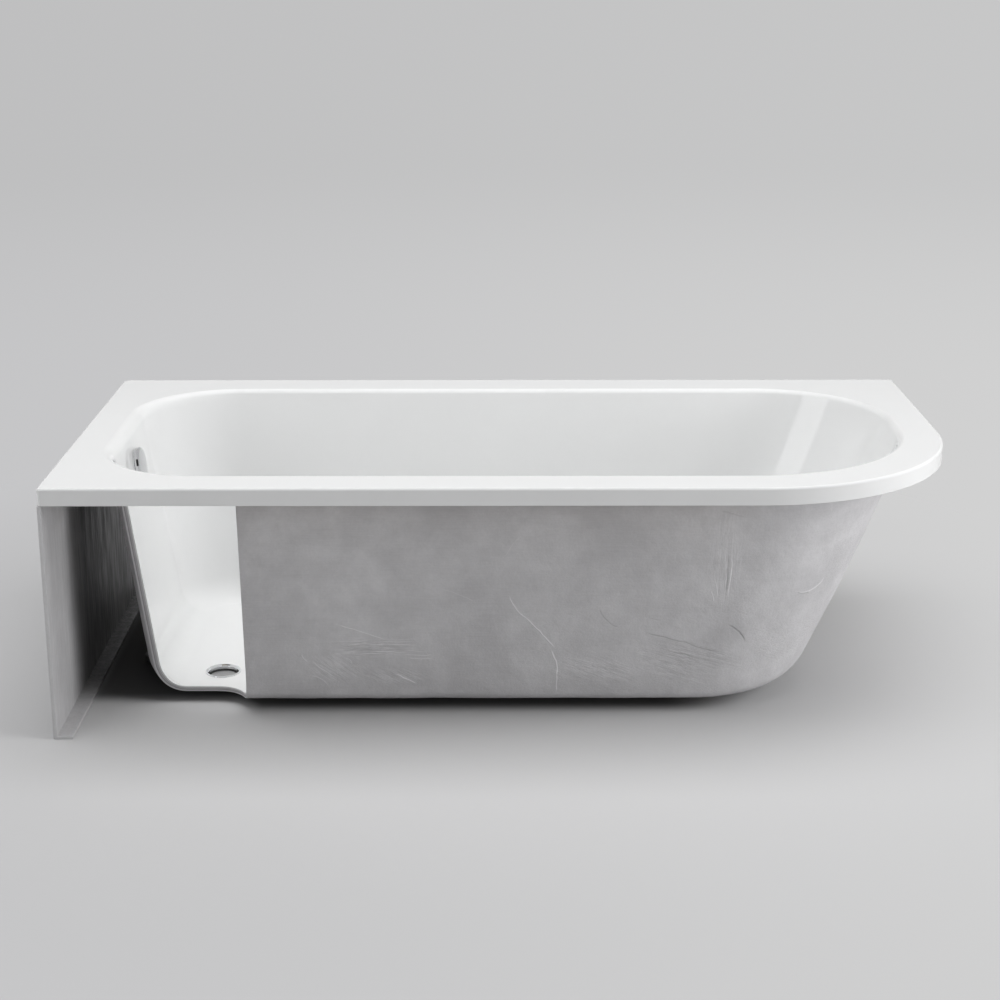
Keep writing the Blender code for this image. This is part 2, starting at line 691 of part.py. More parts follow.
def build_brackets():
    """Brackets under the left batten that hold the end panel, and their screws."""
    left = LEFT_EDGE + PANEL_THICKNESS + FIT_GAP
    top = BATTEN_BOTTOM - FIT_GAP
    outline = [(0, 0, 0), (BRACKET_REACH, 0, 0), (BRACKET_REACH, 0, -BRACKET_THICKNESS),
               (BRACKET_THICKNESS, 0, -BRACKET_THICKNESS), (BRACKET_THICKNESS, 0, -BRACKET_DROP),
               (0, 0, -BRACKET_DROP)]
    under = top - BRACKET_THICKNESS
    hole = rod_profile(BRACKET_SCREW_RADIUS + FIT_GAP, under - CUT_OVERRUN, top + CUT_OVERRUN)
    places = [(bracket_screw_x(), y) for y in bracket_rows()]
    for number, (x, y) in enumerate(places, start=1):
        bm = bmesh.new()
        add_prism(bm, outline, Vector((left, y - BRACKET_WIDTH / 2, top)),
                  Vector((left, y + BRACKET_WIDTH / 2, top)))
        bracket = solid_from(bm, "panel_bracket_" + str(number), STEEL)
        boolean(bracket, hole_cutter(bracket.name + "_cutter", hole, [(x, y)]))
    head_top = under - FIT_GAP
    head_bottom = head_top - BRACKET_SCREW_HEAD_HEIGHT
    tip = BATTEN_BOTTOM + BRACKET_SCREW_BITE
    screw = [(0, head_bottom), (BRACKET_SCREW_HEAD_RADIUS, head_bottom),
             (BRACKET_SCREW_HEAD_RADIUS, head_top), (BRACKET_SCREW_RADIUS, head_top),
             (BRACKET_SCREW_RADIUS, tip), (0, tip)]
    turned_row("bracket_screw", screw, places, STEEL, False)


# Waste

WASTE_RIM_TOP = BASIN_FLOOR + FIT_GAP + WASTE_FLANGE_THICKNESS
SEAT_TOP = BASIN_FLOOR - WASTE_SEAT_DEPTH
GASKET_TOP = UNDERSIDE - FIT_GAP
BODY_TOP = GASKET_TOP - WASTE_GASKET_THICKNESS - FIT_GAP
BODY_BOTTOM = WASTE_BODY_CLEARANCE
BODY_SHOULDER = BODY_BOTTOM + WASTE_SHOULDER_THICKNESS
BODY_RADIUS = WASTE_TAIL_RADIUS + FIT_GAP + WASTE_BODY_WALL
PLUG_BOTTOM = SEAT_TOP + FIT_GAP + PLUG_SEAL_THICKNESS + FIT_GAP
DUCT_BOTTOM = BODY_BOTTOM + FIT_GAP
DUCT_TOP = BODY_TOP - DUCT_BELOW_BODY_TOP
CHANNEL_BOTTOM = DUCT_BOTTOM + DUCT_WALL
CHANNEL_TOP = DUCT_TOP - DUCT_WALL
GUIDE_HEIGHT = PLUG_LIFT + GUIDE_HOLD
SPIGOT_RADIUS = HOSE_RADIUS - HOSE_WALL - FIT_GAP
HOSE_BORE_RADIUS = (SPIGOT_RADIUS + FIT_GAP) / math.cos(math.pi / HOSE_SIDES)


def riser_place():
    """Middle of the riser in plan, beside the end wall's outside."""
    depth = BASIN_DEPTH - LEFT_FLOOR_RADIUS
    wall_x = LEFT_EDGE + RIM_LEFT + wall_line(LEFT_WALL, depth, BACKING_OUTSIDE)
    return Vector((wall_x - HOSE_RADIUS - RISER_CLEARANCE, -RISER_BEFORE_OVERFLOW, 0))


RISER_PLACE = riser_place()
RISER_TOP = BASIN_FLOOR + RISER_SHORT_OF_FLOOR
CABLE_HEIGHT = (BODY_TOP + BODY_BOTTOM) / 2


def build_waste_flange():
    """Chrome ring and dish in the floor, with its tail and the plug's seat."""
    bore = WASTE_TAIL_RADIUS - WASTE_TAIL_WALL
    low = BODY_SHOULDER + FIT_GAP
    ring_bottom = BASIN_FLOOR + FIT_GAP
    edge = WASTE_RIM_TOP - WASTE_FLANGE_BEVEL
    profile = [(WASTE_DISH_RADIUS, WASTE_RIM_TOP),
               (WASTE_FLANGE_RADIUS - WASTE_FLANGE_BEVEL, WASTE_RIM_TOP),
               (WASTE_FLANGE_RADIUS, edge), (WASTE_FLANGE_RADIUS, ring_bottom),
               (WASTE_TAIL_RADIUS, ring_bottom), (WASTE_TAIL_RADIUS, low), (bore, low),
               (bore, SEAT_TOP - WASTE_SEAT_THICKNESS),
               (WASTE_SEAT_RADIUS, SEAT_TOP - WASTE_SEAT_THICKNESS),
               (WASTE_SEAT_RADIUS, SEAT_TOP), (bore, SEAT_TOP), (bore, ring_bottom)]
    item = turned("waste_flange", profile, CHROME, SHOWN_STEPS, True)
    item.location = WASTE_CENTRE


def build_plug():
    """Plug with its boss and stem, and the seal round the boss."""
    top = PLUG_BOTTOM + PLUG_THICKNESS
    boss = PLUG_BOTTOM - PLUG_BOSS_DEPTH
    profile = [(0, BODY_BOTTOM + FIT_GAP), (PLUG_STEM_RADIUS, BODY_BOTTOM + FIT_GAP),
               (PLUG_STEM_RADIUS, boss), (PLUG_BOSS_RADIUS, boss),
               (PLUG_BOSS_RADIUS, PLUG_BOTTOM), (PLUG_RADIUS, PLUG_BOTTOM),
               (PLUG_RADIUS, top - PLUG_BEVEL), (PLUG_RADIUS - PLUG_BEVEL, top), (0, top)]
    item = turned("waste_plug", profile, CHROME, SHOWN_STEPS)
    item.location = WASTE_CENTRE
    low = SEAT_TOP + FIT_GAP
    seal = ring_profile(PLUG_BOSS_RADIUS + FIT_GAP, PLUG_RADIUS + PLUG_SEAL_OVERHANG, low,
                        low + PLUG_SEAL_THICKNESS)
    item = turned("plug_seal", seal, RUBBER, SHOWN_STEPS, True)
    item.location = WASTE_CENTRE


def build_waste_gasket():
    """Rubber ring between the backing and the waste body."""
    profile = ring_profile(WASTE_TAIL_RADIUS + FIT_GAP, WASTE_GASKET_RADIUS,
                           GASKET_TOP - WASTE_GASKET_THICKNESS, GASKET_TOP)
    item = turned("waste_gasket", profile, RUBBER, SHOWN_STEPS, True)
    item.location = WASTE_CENTRE


def duct_box(name, width, low, high):
    """Box along the line from the waste to the riser."""
    run = RISER_PLACE - WASTE_CENTRE
    heading = Matrix.Rotation(math.atan2(run.y, run.x), 4, "Z")
    item = box(name, (0, -width / 2, low), (run.length, width / 2, high))
    item.matrix_world = Matrix.Translation(WASTE_CENTRE) @ heading
    return item


def build_waste_body():
    """Low body under the floor, with its duct, riser, cable socket and stem guide."""
    profile = rod_profile(BODY_RADIUS, BODY_BOTTOM, BODY_TOP)
    body = turned("waste_body", profile, PLASTIC)
    body.location = WASTE_CENTRE
    boolean(body, duct_box("waste_duct_form", DUCT_WIDTH, DUCT_BOTTOM, DUCT_TOP), "UNION")
    foot = turned("riser_foot_form", rod_profile(DUCT_WIDTH / 2, DUCT_BOTTOM, DUCT_TOP))
    foot.location = RISER_PLACE
    boolean(body, foot, "UNION")
    collar = RISER_TOP - SPIGOT_LENGTH
    riser = [(0, CHANNEL_BOTTOM), (HOSE_RADIUS, CHANNEL_BOTTOM),
             (HOSE_RADIUS, collar), (SPIGOT_RADIUS, collar), (SPIGOT_RADIUS, RISER_TOP),
             (0, RISER_TOP)]
    form = turned("riser_form", riser)
    form.location = RISER_PLACE
    boolean(body, form, "UNION")
    socket = turned("waste_socket_form", rod_profile(CABLE_SOCKET_RADIUS, BODY_RADIUS / 2,
                                                     BODY_RADIUS + CABLE_SOCKET_LENGTH))
    turn = Matrix.Rotation(-QUARTER_TURN, 4, "X")
    lift = Vector((0, 0, CABLE_HEIGHT))
    socket.matrix_world = Matrix.Translation(WASTE_CENTRE + lift) @ turn
    boolean(body, socket, "UNION")

    bore = [(0, BODY_BOTTOM - CUT_OVERRUN), (WASTE_OUTLET_RADIUS, BODY_BOTTOM - CUT_OVERRUN),
            (WASTE_OUTLET_RADIUS, BODY_SHOULDER), (WASTE_TAIL_RADIUS + FIT_GAP, BODY_SHOULDER),
            (WASTE_TAIL_RADIUS + FIT_GAP, BODY_TOP + CUT_OVERRUN), (0, BODY_TOP + CUT_OVERRUN)]
    cutter = turned("waste_bore_cutter", bore, steps=SHOWN_STEPS)
    cutter.location = WASTE_CENTRE
    boolean(body, cutter)
    boolean(body, duct_box("waste_channel_cutter", DUCT_WIDTH - 2 * DUCT_WALL,
                           CHANNEL_BOTTOM, CHANNEL_TOP))
    riser_bore = turned("riser_bore_cutter",
                        rod_profile(SPIGOT_RADIUS - SPIGOT_WALL,
                                    (CHANNEL_BOTTOM + CHANNEL_TOP) / 2,
                                    RISER_TOP + CUT_OVERRUN))
    riser_bore.location = RISER_PLACE
    boolean(body, riser_bore)

    guide_bore = PLUG_STEM_RADIUS + FIT_GAP
    guide = turned("stem_guide_form",
                   ring_profile(guide_bore, guide_bore + GUIDE_WALL, BODY_BOTTOM,
                                BODY_BOTTOM + GUIDE_HEIGHT), closed=True)
    guide.location = WASTE_CENTRE
    arm_start = guide_bore + GUIDE_WALL / 2
    arm_end = WASTE_OUTLET_RADIUS + WASTE_BODY_WALL / 2
    for arm in range(SPIDER_ARMS):
        form = box("spider_arm_form_" + str(arm + 1),
                   (arm_start, -SPIDER_WIDTH / 2, BODY_BOTTOM + FIT_GAP),
                   (arm_end, SPIDER_WIDTH / 2, BODY_BOTTOM + FIT_GAP + SPIDER_THICKNESS))
        spin = Matrix.Rotation(math.tau * arm / SPIDER_ARMS + QUARTER_TURN, 4, "Z")
        form.matrix_world = Matrix.Translation(WASTE_CENTRE) @ spin
        boolean(body, form, "UNION")
    boolean(body, guide, "UNION")


# Overflow

GRATE_BACK = FIT_GAP
GRATE_FRONT = GRATE_BACK + GRATE_THICKNESS
KNOB_BACK = GRATE_FRONT + KNOB_STANDOFF
OVERFLOW_BODY_BACK = OVERFLOW_BODY_FRONT - OVERFLOW_BODY_DEPTH
OVERFLOW_BORE = OVERFLOW_BODY_RADIUS - OVERFLOW_BODY_WALL
HOSE_COLLAR = OVERFLOW_BODY_RADIUS + OVERFLOW_BODY_WALL


def in_overflow_frame(item):
    """Place a piece in the overflow's frame."""
    item.matrix_world = OVERFLOW_FRAME
    return item


def along_wall(y, start):
    """Turn a piece's Z down along the end wall, at the hose's standoff."""
    return (OVERFLOW_FRAME @ Matrix.Translation((start, y, -HOSE_STANDOFF))
            @ Matrix.Rotation(QUARTER_TURN, 4, "Y"))


def build_overflow_knob():
    """Chrome disc and shaft that a hand turns to lift the plug."""
    front = KNOB_BACK + KNOB_THICKNESS
    shaft_end = OVERFLOW_BODY_BACK + OVERFLOW_BODY_WALL + FIT_GAP
    profile = [(0, shaft_end), (KNOB_SHAFT_RADIUS, shaft_end), (KNOB_SHAFT_RADIUS, KNOB_BACK),
               (KNOB_RADIUS - KNOB_BEVEL / 2, KNOB_BACK), (KNOB_RADIUS, KNOB_BACK + KNOB_BEVEL / 2),
               (KNOB_RADIUS, front - KNOB_BEVEL), (KNOB_RADIUS - KNOB_BEVEL, front), (0, front)]
    in_overflow_frame(turned("overflow_knob", profile, CHROME, SHOWN_STEPS))


def build_overflow_grate():
    """Perforated plate behind the knob, which guides its shaft."""
    profile = ring_profile(KNOB_SHAFT_RADIUS + FIT_GAP, GRATE_RADIUS, GRATE_BACK, GRATE_FRONT)
    grate = in_overflow_frame(turned("overflow_grate", profile, CHROME, closed=True))
    places = [(GRATE_HOLE_CIRCLE * math.cos(math.tau * hole / GRATE_HOLES),
               GRATE_HOLE_CIRCLE * math.sin(math.tau * hole / GRATE_HOLES))
              for hole in range(GRATE_HOLES)]
    holes = rod_profile(GRATE_HOLE_RADIUS, GRATE_BACK - CUT_OVERRUN, GRATE_FRONT + CUT_OVERRUN)
    boolean(grate, in_overflow_frame(hole_cutter("overflow_grate_cutter", holes, places)))


def build_overflow_gasket():
    """Rubber ring between the backing and the overflow body."""
    profile = ring_profile(OVERFLOW_HOLE_RADIUS, OVERFLOW_BODY_RADIUS,
                           OVERFLOW_GASKET_FRONT - OVERFLOW_GASKET_THICKNESS,
                           OVERFLOW_GASKET_FRONT)
    in_overflow_frame(turned("overflow_gasket", profile, RUBBER, HIDDEN_STEPS, True))


def build_overflow_body():
    """Cup behind the end wall with its outlet, shaft bush and cable socket."""
    profile = rod_profile(OVERFLOW_BODY_RADIUS, OVERFLOW_BODY_BACK, OVERFLOW_BODY_FRONT)
    body = in_overflow_frame(turned("overflow_body", profile, PLASTIC))
    outlet_end = HOSE_COLLAR + SPIGOT_LENGTH
    outlet = [(0, OVERFLOW_BORE / 2), (HOSE_RADIUS, OVERFLOW_BORE / 2),
              (HOSE_RADIUS, HOSE_COLLAR), (SPIGOT_RADIUS, HOSE_COLLAR),
              (SPIGOT_RADIUS, outlet_end), (0, outlet_end)]
    form = turned("overflow_outlet_form", outlet)
    form.matrix_world = along_wall(0, 0)
    boolean(body, form, "UNION")
    socket = turned("overflow_socket_form",
                    rod_profile(CABLE_SOCKET_RADIUS, OVERFLOW_BORE / 2,
                                OVERFLOW_BODY_RADIUS + CABLE_SOCKET_LENGTH))
    socket.matrix_world = along_wall(CABLE_BESIDE_HOSE, 0)
    boolean(body, socket, "UNION")
    inside = rod_profile(OVERFLOW_BORE, OVERFLOW_BODY_BACK + OVERFLOW_BODY_WALL,
                         OVERFLOW_BODY_FRONT + CUT_OVERRUN)
    boolean(body, in_overflow_frame(turned("overflow_inside_cutter", inside)))
    bore = turned("overflow_outlet_cutter",
                  rod_profile(SPIGOT_RADIUS - SPIGOT_WALL, 0, outlet_end + CUT_OVERRUN))
    bore.matrix_world = along_wall(0, 0)
    boolean(body, bore)
    bush_bore = KNOB_SHAFT_RADIUS + FIT_GAP
    back = OVERFLOW_BODY_BACK + OVERFLOW_BODY_WALL / 2
    bush = ring_profile(bush_bore, bush_bore + GUIDE_WALL, back, back + GUIDE_HEIGHT)
    boolean(body, in_overflow_frame(turned("shaft_bush_form", bush, closed=True)), "UNION")


def bezier(points, count):
    """Points along one cubic curve."""
    first, second, third, fourth = points
    curve = []
    for step in range(count + 1):
        t = step / count
        rest = 1 - t
        curve.append(first * rest ** 3 + second * (3 * rest ** 2 * t)
                     + third * (3 * rest * t ** 2) + fourth * t ** 3)
    return curve


def hose_route(count):
    """Middle line of the hose from the overflow's collar to the riser's collar."""
    frame = along_wall(0, HOSE_COLLAR + FIT_GAP)
    start = frame.translation.copy()
    down = frame.to_3x3() @ Vector((0, 0, 1))
    end = RISER_PLACE + Vector((0, 0, RISER_TOP - SPIGOT_LENGTH + FIT_GAP))
    straight = 2 * HOSE_RADIUS
    first = start + down * straight
    last = end + Vector((0, 0, straight))
    reach = (last - first).length / 3
    middle = bezier((first, first + down * reach, last + Vector((0, 0, reach)), last), count)
    return [start] + middle + [end]


def build_hose():
    """Ribbed hose with its bore, plain at both ends where it fits over the spigots."""
    ends = hose_route(1)
    length = (ends[2] - ends[1]).length
    ribs = max(int(length / HOSE_RIB_PITCH), 2)
    points = hose_route(2 * ribs)
    crest = HOSE_RADIUS
    groove = HOSE_RADIUS - HOSE_GROOVE
    radii = [crest] + [groove if step % 2 else crest for step in range(2 * ribs + 1)] + [crest]
    bm = bmesh.new()
    add_tube(bm, points, radii, HOSE_SIDES)
    hose = solid_from(bm, "overflow_hose", HOSE)
    route = hose_route(HOSE_BORE_STEPS)
    first = (route[0] - route[1]).normalized() * CUT_OVERRUN
    last = (route[-1] - route[-2]).normalized() * CUT_OVERRUN
    route = [route[0] + first] + route[1:-1] + [route[-1] + last]
    bm = bmesh.new()
    add_tube(bm, route, [HOSE_BORE_RADIUS] * len(route), HOSE_SIDES)
    boolean(hose, solid_from(bm, "overflow_hose_cutter"))


def build_hose_clips():
    """Band clips round both plain ends of the hose."""
    inner = HOSE_RADIUS + FIT_GAP
    start = FIT_GAP + SPIGOT_LENGTH / 2 - CLIP_WIDTH / 2
    profile = ring_profile(inner, inner + CLIP_THICKNESS, start, start + CLIP_WIDTH)
    upper = turned("upper_hose_clip", profile, STEEL, closed=True)
    upper.matrix_world = along_wall(0, HOSE_COLLAR)
    lower = turned("lower_hose_clip", profile, STEEL, closed=True)
    lower.location = RISER_PLACE + Vector((0, 0, RISER_TOP - SPIGOT_LENGTH))


def smooth_route(anchors, span_steps):
    """Smooth curve through anchor points."""
    route = []
    padded = [anchors[0]] + anchors + [anchors[-1]]
    for before, start, end, after in zip(padded, padded[1:], padded[2:], padded[3:]):
        leave = (end - before) / 6
        arrive = (after - start) / 6
        route += bezier((start, start + leave, end - arrive, end), span_steps)[:-1]
    return route + [anchors[-1]]


def build_cable():
    """Pull cable from the overflow body, down the end wall and under the floor to the waste."""
    top = along_wall(CABLE_BESIDE_HOSE, OVERFLOW_BODY_RADIUS + CABLE_SOCKET_LENGTH + FIT_GAP)
    start = top.translation.copy()
    down = top.to_3x3() @ Vector((0, 0, 1))
    fall = start.z - BASIN_FLOOR - CABLE_BEND
    foot = start + down * fall
    level = CABLE_HEIGHT
    end = WASTE_CENTRE + Vector((0, BODY_RADIUS + CABLE_SOCKET_LENGTH + FIT_GAP, level))
    turn = Vector((foot.x + CABLE_BEND, foot.y, level))
    knee = Vector((foot.x + CABLE_BEND / 4, foot.y, (foot.z + level) / 2))
    approach = end + Vector((0, CABLE_BEND, 0))
    anchors = [start, start + down * CABLE_BEND, start.lerp(foot, 1 / 2), foot, knee, turn,
               turn.lerp(approach, 1 / 2) + Vector((CABLE_BEND / 3, CABLE_BEND / 3, 0)),
               approach, end]
    route = smooth_route(anchors, CABLE_SPAN_STEPS)
    bm = bmesh.new()
    add_tube(bm, route, [CABLE_RADIUS] * len(route), CABLE_SIDES)
    solid_from(bm, "pull_cable", PLASTIC)


def main():
    """Build the bath."""
    clear_scene()
    build_acrylic_shell()
    build_reinforcement_shell()
    build_baseboard()
    build_foot_hardware()
    build_battens()
    build_end_panel()
    build_brackets()
    build_waste_flange()
    build_plug()
    build_waste_gasket()
    build_waste_body()
    build_overflow_knob()
    build_overflow_grate()
    build_overflow_gasket()
    build_overflow_body()
    build_hose()
    build_hose_clips()
    build_cable()


main()
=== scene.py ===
"""Looks of a j-shaped shower bath: fine shells, fittings, finishes, studio light and camera.

Metres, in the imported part's own frame: +X points to the rounded end and +Y to the wall at the
back. Depths are measured down from the rim's flat top.
"""
import json
import logging
import math
from dataclasses import dataclass, field
from enum import Enum

import bmesh
import bpy
from mathutils import Matrix, Vector, noise
from mathutils.bvhtree import BVHTree

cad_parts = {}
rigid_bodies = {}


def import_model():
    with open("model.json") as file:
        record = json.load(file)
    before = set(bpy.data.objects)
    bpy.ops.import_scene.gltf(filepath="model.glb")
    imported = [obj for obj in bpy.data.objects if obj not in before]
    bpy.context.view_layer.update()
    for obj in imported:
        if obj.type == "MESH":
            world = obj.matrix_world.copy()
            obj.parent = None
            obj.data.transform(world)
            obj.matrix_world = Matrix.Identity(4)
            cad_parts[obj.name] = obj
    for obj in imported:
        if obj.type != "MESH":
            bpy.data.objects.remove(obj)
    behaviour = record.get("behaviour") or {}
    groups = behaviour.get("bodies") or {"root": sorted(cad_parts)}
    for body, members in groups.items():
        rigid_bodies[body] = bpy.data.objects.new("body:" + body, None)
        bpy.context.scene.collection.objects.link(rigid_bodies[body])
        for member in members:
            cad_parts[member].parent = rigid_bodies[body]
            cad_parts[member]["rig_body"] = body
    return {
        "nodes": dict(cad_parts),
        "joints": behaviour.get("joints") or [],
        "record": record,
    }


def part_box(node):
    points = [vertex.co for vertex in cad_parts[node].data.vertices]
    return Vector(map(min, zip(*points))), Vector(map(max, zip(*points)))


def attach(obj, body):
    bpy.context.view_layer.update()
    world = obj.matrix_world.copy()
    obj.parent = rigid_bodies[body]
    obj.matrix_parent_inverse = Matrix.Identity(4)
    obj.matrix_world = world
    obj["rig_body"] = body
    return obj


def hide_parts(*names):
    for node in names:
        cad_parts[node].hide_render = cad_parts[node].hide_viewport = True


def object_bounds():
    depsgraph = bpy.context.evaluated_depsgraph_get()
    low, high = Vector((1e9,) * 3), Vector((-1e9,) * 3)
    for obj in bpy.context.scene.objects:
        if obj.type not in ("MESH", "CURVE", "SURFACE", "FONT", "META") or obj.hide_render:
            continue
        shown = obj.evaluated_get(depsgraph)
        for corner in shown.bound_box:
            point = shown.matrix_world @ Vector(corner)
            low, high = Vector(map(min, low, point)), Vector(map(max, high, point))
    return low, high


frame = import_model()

CAD_LOW, CAD_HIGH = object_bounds()
LOG = logging.getLogger("bath")

MM = 0.001
QUARTER_TURN = math.pi / 2
SHARP_ANGLE = math.radians(32)
BEND = math.radians(20)
FLAT_BEND = math.radians(15)
WELD = 1e-6
FINE_STEPS = 96
CUT_FACE = 1
EDGE_FACE = 1
INNER_FACE = 2
ORIGIN = (0, 0, 0)

Triple = tuple[float, float, float]
Colour = Triple
Place = tuple[float, float]
Profile = list[Place]
Piece = bpy.types.Object
Paint = bpy.types.Material
Paints = list[Paint]
Solid = bmesh.types.BMesh
Socket = bpy.types.NodeSocket


class Slot(Enum):
    """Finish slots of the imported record."""
    ACRYLIC = "white_acrylic"
    BACKING = "grey_backing"
    PANEL = "grey_panel"
    BOARD = "board"
    CHROME = "chrome"
    STEEL = "steel"
    PLASTIC = "black_plastic"
    HOSE = "hose_plastic"
    RUBBER = "rubber"


# Mesh helpers


def shade(item: Piece) -> None:
    """Shade an object smooth between its sharp edges."""
    item.data.shade_smooth()
    item.data.set_sharp_from_angle(angle=SHARP_ANGLE)


def object_from(bm: Solid, name: str, materials: Paints) -> Piece:
    """Turn a closed bmesh into a smooth-shaded object at the origin.

    Args:
        bm: The mesh, which is freed.
        name: Name of the object.
        materials: Materials in slot order.

    Returns:
        The new object.
    """
    bmesh.ops.recalc_face_normals(bm, faces=bm.faces)
    mesh = bpy.data.meshes.new(name)
    bm.to_mesh(mesh)
    bm.free()
    for material in materials:
        mesh.materials.append(material)
    item = bpy.data.objects.new(name, mesh)
    shade(item)
    bpy.context.scene.collection.objects.link(item)
    return item


def loft(rings: list[list[Vector]]) -> Solid:
    """Lay a grid over rings of equal length, close its seam and fill its two ends.

    Args:
        rings: Rings in order, each a closed loop of points.

    Returns:
        A closed bmesh.
    """
    count = len(rings[0])
    bm = bmesh.new()
    bmesh.ops.create_grid(bm, x_segments=count, y_segments=len(rings) - 1, size=0.5)
    last_row = len(rings) - 1
    for vert in bm.verts:
        column = round((vert.co.x + 0.5) * count)
        row = round((vert.co.y + 0.5) * last_row)
        vert.co = rings[row][column % count]
    bmesh.ops.remove_doubles(bm, verts=bm.verts, dist=WELD)
    open_edges = [edge for edge in bm.edges if edge.is_boundary]
    bmesh.ops.holes_fill(bm, edges=open_edges, sides=0)
    return bm


def turn_profile(profile: Profile, place: Matrix, closed: bool = False) -> Solid:
    """Spin a profile of (radius, height) points about Z and put the result at a place.

    Args:
        profile: Points of the profile. An open one starts and ends on the axis.
        place: Frame that the turned shape is put in.
        closed: Whether the last point joins the first.

    Returns:
        The turned bmesh.
    """
    bm = bmesh.new()
    verts = [bm.verts.new((radius, 0, height)) for radius, height in profile]
    pairs = list(zip(verts, verts[1:]))
    if closed:
        pairs.append((verts[-1], verts[0]))
    edges = [bm.edges.new(pair) for pair in pairs]
    bmesh.ops.spin(bm, geom=verts + edges, cent=(0, 0, 0), axis=(0, 0, 1), angle=math.tau,
                   steps=FINE_STEPS, use_merge=True)
    bmesh.ops.remove_doubles(bm, verts=bm.verts, dist=WELD)
    bmesh.ops.transform(bm, matrix=place, verts=bm.verts)
    return bm


def block(low: Vector, high: Vector) -> Solid:
    """A box between two corners."""
    bm = bmesh.new()
    place = Matrix.Translation((low + high) / 2) @ Matrix.Diagonal((*(high - low), 1))
    bmesh.ops.create_cube(bm, size=1, matrix=place)
    return bm


def round_edges(bm: Solid, radius: float, segments: int = 2,
                angle: float = SHARP_ANGLE) -> Solid:
    """Bevel every edge that is sharper than an angle.

    Args:
        bm: The mesh to work on.
        radius: Width of the bevel.
        segments: Steps across the bevel.
        angle: Edges flatter than this are left alone.

    Returns:
        The same bmesh.
    """
    bmesh.ops.recalc_face_normals(bm, faces=bm.faces)
    edges = [edge for edge in bm.edges
             if len(edge.link_faces) == 2 and edge.calc_face_angle(0) > angle]
    bmesh.ops.bevel(bm, geom=edges, offset=radius, offset_type="OFFSET", segments=segments,
                    profile=0.5, affect="EDGES", material=-1, clamp_overlap=True)
    return bm


def as_tool(bm: Solid, name: str, materials: Paints) -> Piece:
    """Make a cutting tool whose faces carry the cut finish."""
    for face in bm.faces:
        face.material_index = CUT_FACE
    return object_from(bm, name, materials)


def round_tool(radius: float, low: float, high: float, place: Matrix, name: str,
               materials: Paints) -> Piece:
    """A round cutting tool from one height to another along Z of its place."""
    profile = [(0, low), (radius, low), (radius, high), (0, high)]
    return as_tool(turn_profile(profile, place), name, materials)


def cut_with(item: Piece, tools: list[Piece]) -> None:
    """Cut an object with tools by exact Booleans, keep the result and remove the tools.

    Args:
        item: The object to cut.
        tools: Closed objects that are taken away from it.
    """
    for tool in tools:
        modifier = item.modifiers.new(tool.name, "BOOLEAN")
        modifier.operation = "DIFFERENCE"
        modifier.solver = "EXACT"
        modifier.object = tool
        modifier.material_mode = "INDEX"
    bpy.context.view_layer.update()
    graph = bpy.context.evaluated_depsgraph_get()
    mesh = bpy.data.meshes.new_from_object(item.evaluated_get(graph))
    item.modifiers.clear()
    item.data = mesh
    for tool in tools:
        bpy.data.objects.remove(tool)


def settle(item: Piece, slot: Slot, *nodes: str) -> Piece:
    """Ride a piece on the body of its CAD nodes and let it stand for them.

    Args:
        item: The finished piece.
        slot: Finish slot of the record; not used.
        nodes: CAD nodes that it stands for, all of one body.

    Returns:
        The same piece.
    """
    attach(item, frame["nodes"][nodes[0]]["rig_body"])
    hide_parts(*nodes)
    LOG.info("%s: %d faces, stands for %s", item.name, len(item.data.polygons), ", ".join(nodes))
    return item


# Node helpers


